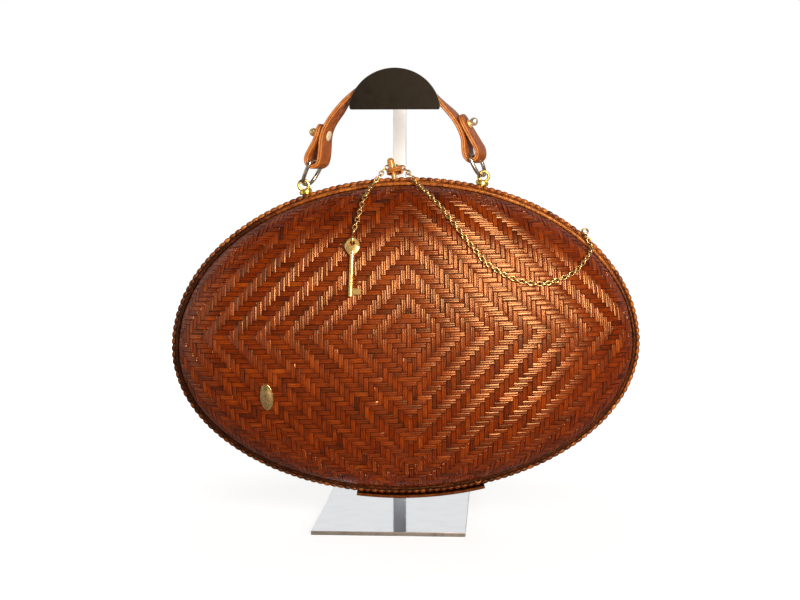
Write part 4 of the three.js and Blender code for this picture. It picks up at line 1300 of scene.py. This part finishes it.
def key_bow():
    disc = oval(KEY_BOW["radius"], KEY_BOW["radius"], KEY_BOW["sides"])
    share = disc[:, 1] / KEY_BOW["radius"]
    pulled = KEY_BOW["point"] * np.maximum(0, share) ** 5 - KEY_BOW["taper"] * np.maximum(0, -share) ** 6
    disc[:, 1] += KEY_BOW["along"] + pulled
    hole = oval(KEY_BOW["hole"], KEY_BOW["hole"], KEY_BOW["sides"])
    hole[:, 1] += KEY_BOW["hole_along"]
    face = disc + (hole - disc) * KEY_BOW["edge_share"]
    half = KEY["thick"] / 2
    edge = half - KEY_BOW["edge"]
    rows = [(disc, -edge), (disc, edge), (face, half), (hole, half), (hole, -half), (face, -half)]
    return skin(levelled(rows), closed=True)


def key_shaft():
    low = -KEY["length"] / 2
    top = KEY_BOW["along"] - KEY_BOW["radius"] + KEY_BOW["over_shaft"]
    radius = KEY["shaft"]
    collar_radius = (radius, radius + KEY_COLLAR["proud"], radius + KEY_COLLAR["proud"], radius)
    collar_rows = [(r, top - below) for r, below in zip(collar_radius, KEY_COLLAR["rows"])]
    rows = [(radius - KEY["chamfer"], low), (radius, low + KEY["chamfer"]), *collar_rows, (radius, top)]
    return lathe(rows, (0, 0, 0), (0, 1, 0))


def key_bit():
    root, reach, half = KEY_BIT["root"], KEY_BIT["reach"], KEY_BIT["height"] / 2
    low, high = KEY_BIT["along"] - half, KEY_BIT["along"] + half
    return slab([(root, low), (reach, low), (reach, high), (root, high)], KEY_BIT["thick"], KEY_BIT["bevel"])


def jump_ring():
    hoop = ring_path((0, JUMP_RING["along"], 0), (1, 0, 0), JUMP_RING["radius"], steps=24)
    return tube(hoop, JUMP_RING["wire"], sides=8, closed=True, start=(1, 0, 0))


key_brass = metal_material(
    "key_brass", (0.72, 0.45, 0.15), (0.58, 0.35, 0.1), scale=120.0, rough=(0.26, 0.34), metallic=0.66)
key_parts = [key_bow(), key_shaft(), key_bit(), jump_ring()]
key = add_lofts("key_brass", [on_dome(loft, KEY_MIDDLE, KEY_LEAN) for loft in key_parts])
seat(key, key_brass, "brass", "front", "key", sharp=35)

# Boss: a plain oval of pressed brass with a raised rim and a crowned middle, pinned to the lower left of the
# front. The profile's rows are share of the oval and height.
BOSS = {"x": -101.3, "z": -31.3, "lift": 0.45, "half_width": 5.0, "half_height": 10.0, "sides": 40}
BOSS_PROFILE = [
    (1.0, 0.0), (1.0, 0.45), (0.95, 0.75), (0.86, 0.62), (0.8, 0.7), (0.6, 1.35), (0.35, 1.7), (0.08, 1.8),
]
boss_oval = oval(BOSS["half_width"], BOSS["half_height"], BOSS["sides"])
boss_loft = skin(levelled([(boss_oval * share, level) for share, level in BOSS_PROFILE]))
boss_brass = metal_material("boss_brass", (0.88, 0.57, 0.24), (0.5, 0.27, 0.09), rough=(0.22, 0.4))
boss = add_lofts("boss_brass", [on_dome(boss_loft, BOSS)])
seat(boss, boss_brass, "brass", "front", "oval_boss")

# Stand: a polished steel plate, a flat bar that rises behind the bag and bends forward, and at its end a
# half-round saddle with a front plate, both painted dark bronze with paler edges. The bar is painted darker
# towards its foot, as painted shade behind the bag, and near white above, as a painted reflection of the
# white room. The plate's edges are painted darker and browner, as a painted reflection of the dark room.
STAND_PLACE = Matrix.Translation((STAND_X * MM, STAND_Y * MM, 0)) @ Matrix.Rotation(-STAND_YAW, 4, "Z")
PLATE = {"width": 112.0, "length": 175.0, "thick": 3.0, "front_y": -126.3, "x": -0.8, "bevel": 0.35,
         "corner": 0.6}
POST = {"width": 10.0, "thick": 6.0, "foot": 3.3, "straight": 60.0, "top": 331.1, "bend": 12.0,
        "front_y": -82.9, "bevel": 0.6}
BEND_STEPS = 17
HEAD_PLATE = {"half_width": 33.9, "rise": 32.5, "thick": 2.5, "front_y": -85.7, "flat_z": 308.2,
              "flat_half": 32.0, "shift": -0.9, "bevel": 0.45}
HEAD_ARC_FROM = math.radians(10)
HEAD_STEPS = 61
SHOULDER_STEPS = 9
SADDLE_STEPS = 49
SADDLE = {"thick": 2.0, "length": 28.0, "from": math.radians(20), "overlap": 0.3, "bevel": 0.3}
STAND_UP = Matrix(((1, 0, 0), (0, 0, -1), (0, 1, 0))).to_4x4()
# The bar is painted darker towards its foot, as painted shade behind the bag, and near white above, as a
# painted reflection of the white room.
POST_SHADE_TOP_Z = 300.0
POST_SHADE_AND_SHEEN_STOPS = [(0.1, (0.46, 0.54, 0.64)), (0.5, (0.7, 0.78, 0.86)), (0.75, (0.98, 0.99, 1.0))]


def turned(loft, matrix):
    moved = loft["rings"] @ np.array(matrix.to_3x3()).T + np.array(matrix.translation)
    return {**loft, "rings": moved}


def rounded_box(width, length, corner):
    points = []
    for number, (sx, sy) in enumerate(((1, -1), (1, 1), (-1, 1), (-1, -1))):
        for part in (0, 0.5, 1):
            turn = math.pi / 2 * (number - 1 + part)
            x = sx * (width / 2 - corner) + corner * math.cos(turn)
            y = sy * (length / 2 - corner) + corner * math.sin(turn)
            points.append((x, y))
    return points


def plate_loft():
    edge = rounded_box(PLATE["width"], PLATE["length"], PLATE["corner"])
    sheet = slab(edge, PLATE["thick"], PLATE["bevel"])
    middle = (PLATE["x"], PLATE["front_y"] + PLATE["length"] / 2, PLATE["thick"] / 2)
    return turned(sheet, Matrix.Translation(middle))


def post_loft():
    top_z = POST["top"] - POST["thick"] / 2
    turns = np.linspace(0, math.pi / 2, BEND_STEPS)
    bend_y = -POST["bend"] * (1 - np.cos(turns))
    bend_z = top_z - POST["bend"] * (1 - np.sin(turns))
    y = np.concatenate([[0, 0], bend_y, [POST["front_y"]]])
    z = np.concatenate([[POST["foot"], POST["straight"]], bend_z, [top_z]])
    lean = np.concatenate([[0, 0], turns, [math.pi / 2]])
    sideways, outward = np.array(rounded_box(POST["width"], POST["thick"], POST["bevel"])).T
    across = np.stack([np.zeros_like(lean), np.cos(lean), np.sin(lean)], -1)
    middle = np.stack([np.zeros_like(y), y, z], -1)
    rings = middle[:, None] + sideways[:, None] * np.array([1, 0, 0]) + outward[:, None] * across[:, None]
    return skin(rings)


def head_plate_loft():
    turns = np.linspace(HEAD_ARC_FROM, math.pi - HEAD_ARC_FROM, HEAD_STEPS)
    arc = np.column_stack([HEAD_PLATE["half_width"] * np.cos(turns), HEAD_PLATE["rise"] * np.sin(turns)])
    arc = arc + [0, HEAD_CENTRE_Z]
    shoulder = arc[0]
    corner = np.array([shoulder[0], HEAD_PLATE["flat_z"]])
    flat = np.array([HEAD_PLATE["flat_half"], HEAD_PLATE["flat_z"]])
    t = np.linspace(0, 1, SHOULDER_STEPS)[:-1, None]
    right = (1 - t) ** 2 * flat + 2 * t * (1 - t) * corner + t**2 * shoulder
    left = right[::-1] * [-1, 1]
    disc = slab(np.concatenate([right, arc, left]), HEAD_PLATE["thick"], HEAD_PLATE["bevel"])
    middle = (HEAD_X + HEAD_PLATE["shift"], HEAD_PLATE["front_y"] + HEAD_PLATE["thick"] / 2, 0)
    return turned(disc, Matrix.Translation(middle) @ STAND_UP)


def saddle_loft():
    wrap = np.linspace(SADDLE["from"], math.pi - SADDLE["from"], SADDLE_STEPS)
    rim = np.column_stack([np.cos(wrap), np.sin(wrap)])
    inner = rim[::-1] * (SADDLE_RADIUS - SADDLE["thick"])
    band = np.concatenate([rim * SADDLE_RADIUS, inner]) + [0, HEAD_CENTRE_Z]
    front_y = HEAD_PLATE["front_y"] + HEAD_PLATE["thick"] - SADDLE["overlap"]
    sheet = slab(band, SADDLE["length"], SADDLE["bevel"])
    return turned(sheet, Matrix.Translation((HEAD_X, front_y + SADDLE["length"] / 2, 0)) @ STAND_UP)


plate_steel = metal_material(
    "plate_steel", (0.94, 0.96, 0.98), (0.88, 0.9, 0.93), scale=60.0, rough=(0.06, 0.12))
# The plate's edges are painted darker and browner than its top: painted reflection of the dark room and the
# bag.
plate_edge_reflection = metal_material("plate_edge_reflection", (0.62, 0.55, 0.49), (0.2, 0.15, 0.12), scale=40.0, rough=(0.3, 0.45))
head_bronze = metal_material(
    "head_bronze", (0.023, 0.0175, 0.0125), (0.014, 0.0105, 0.0078), scale=90.0, rough=(0.42, 0.5))
# The saddle and its front plate are paler on their edges and bevels.
head_pale_edge = metal_material("head_pale_edge", (0.72, 0.68, 0.62), (0.4, 0.35, 0.3), scale=90.0, rough=(0.25, 0.4))
post_shade_and_sheen, post_tree, post_shader = new_material("post_shade_and_sheen", Roughness=0.45, Specular_IOR_Level=1.0)
post_axes = put(post_tree, "ShaderNodeSeparateXYZ", Vector=grain_of(post_tree))
post_lit_share = map_range(post_tree, post_axes.outputs["Z"], 0.0, POST_SHADE_TOP_Z)
wire(post_tree, post_shader, Base_Color=ramp(post_tree, post_lit_share, POST_SHADE_AND_SHEEN_STOPS))

plate = add_lofts("stand_plate", [plate_loft()], place=STAND_PLACE)
seat(plate, plate_steel, "steel", "back", "stand_base", sharp=20)
post = add_lofts("stand_bar", [post_loft()], place=STAND_PLACE)
seat(post, post_shade_and_sheen, "steel", "back", "stand_post", sharp=25)
head = add_lofts("stand_saddle", [head_plate_loft(), saddle_loft()], place=STAND_PLACE)
seat(head, head_bronze, "bronze", "back", "stand_head", sharp=20)
for made, cut, axis, most in ((plate, plate_edge_reflection, 2, 0.5), (head, head_pale_edge, 1, 0.9)):
    made.data.materials.append(cut)
    on_edge = [abs(face.normal[axis]) < most for face in made.data.polygons]
    made.data.polygons.foreach_set("material_index", np.array(on_edge, np.int32))
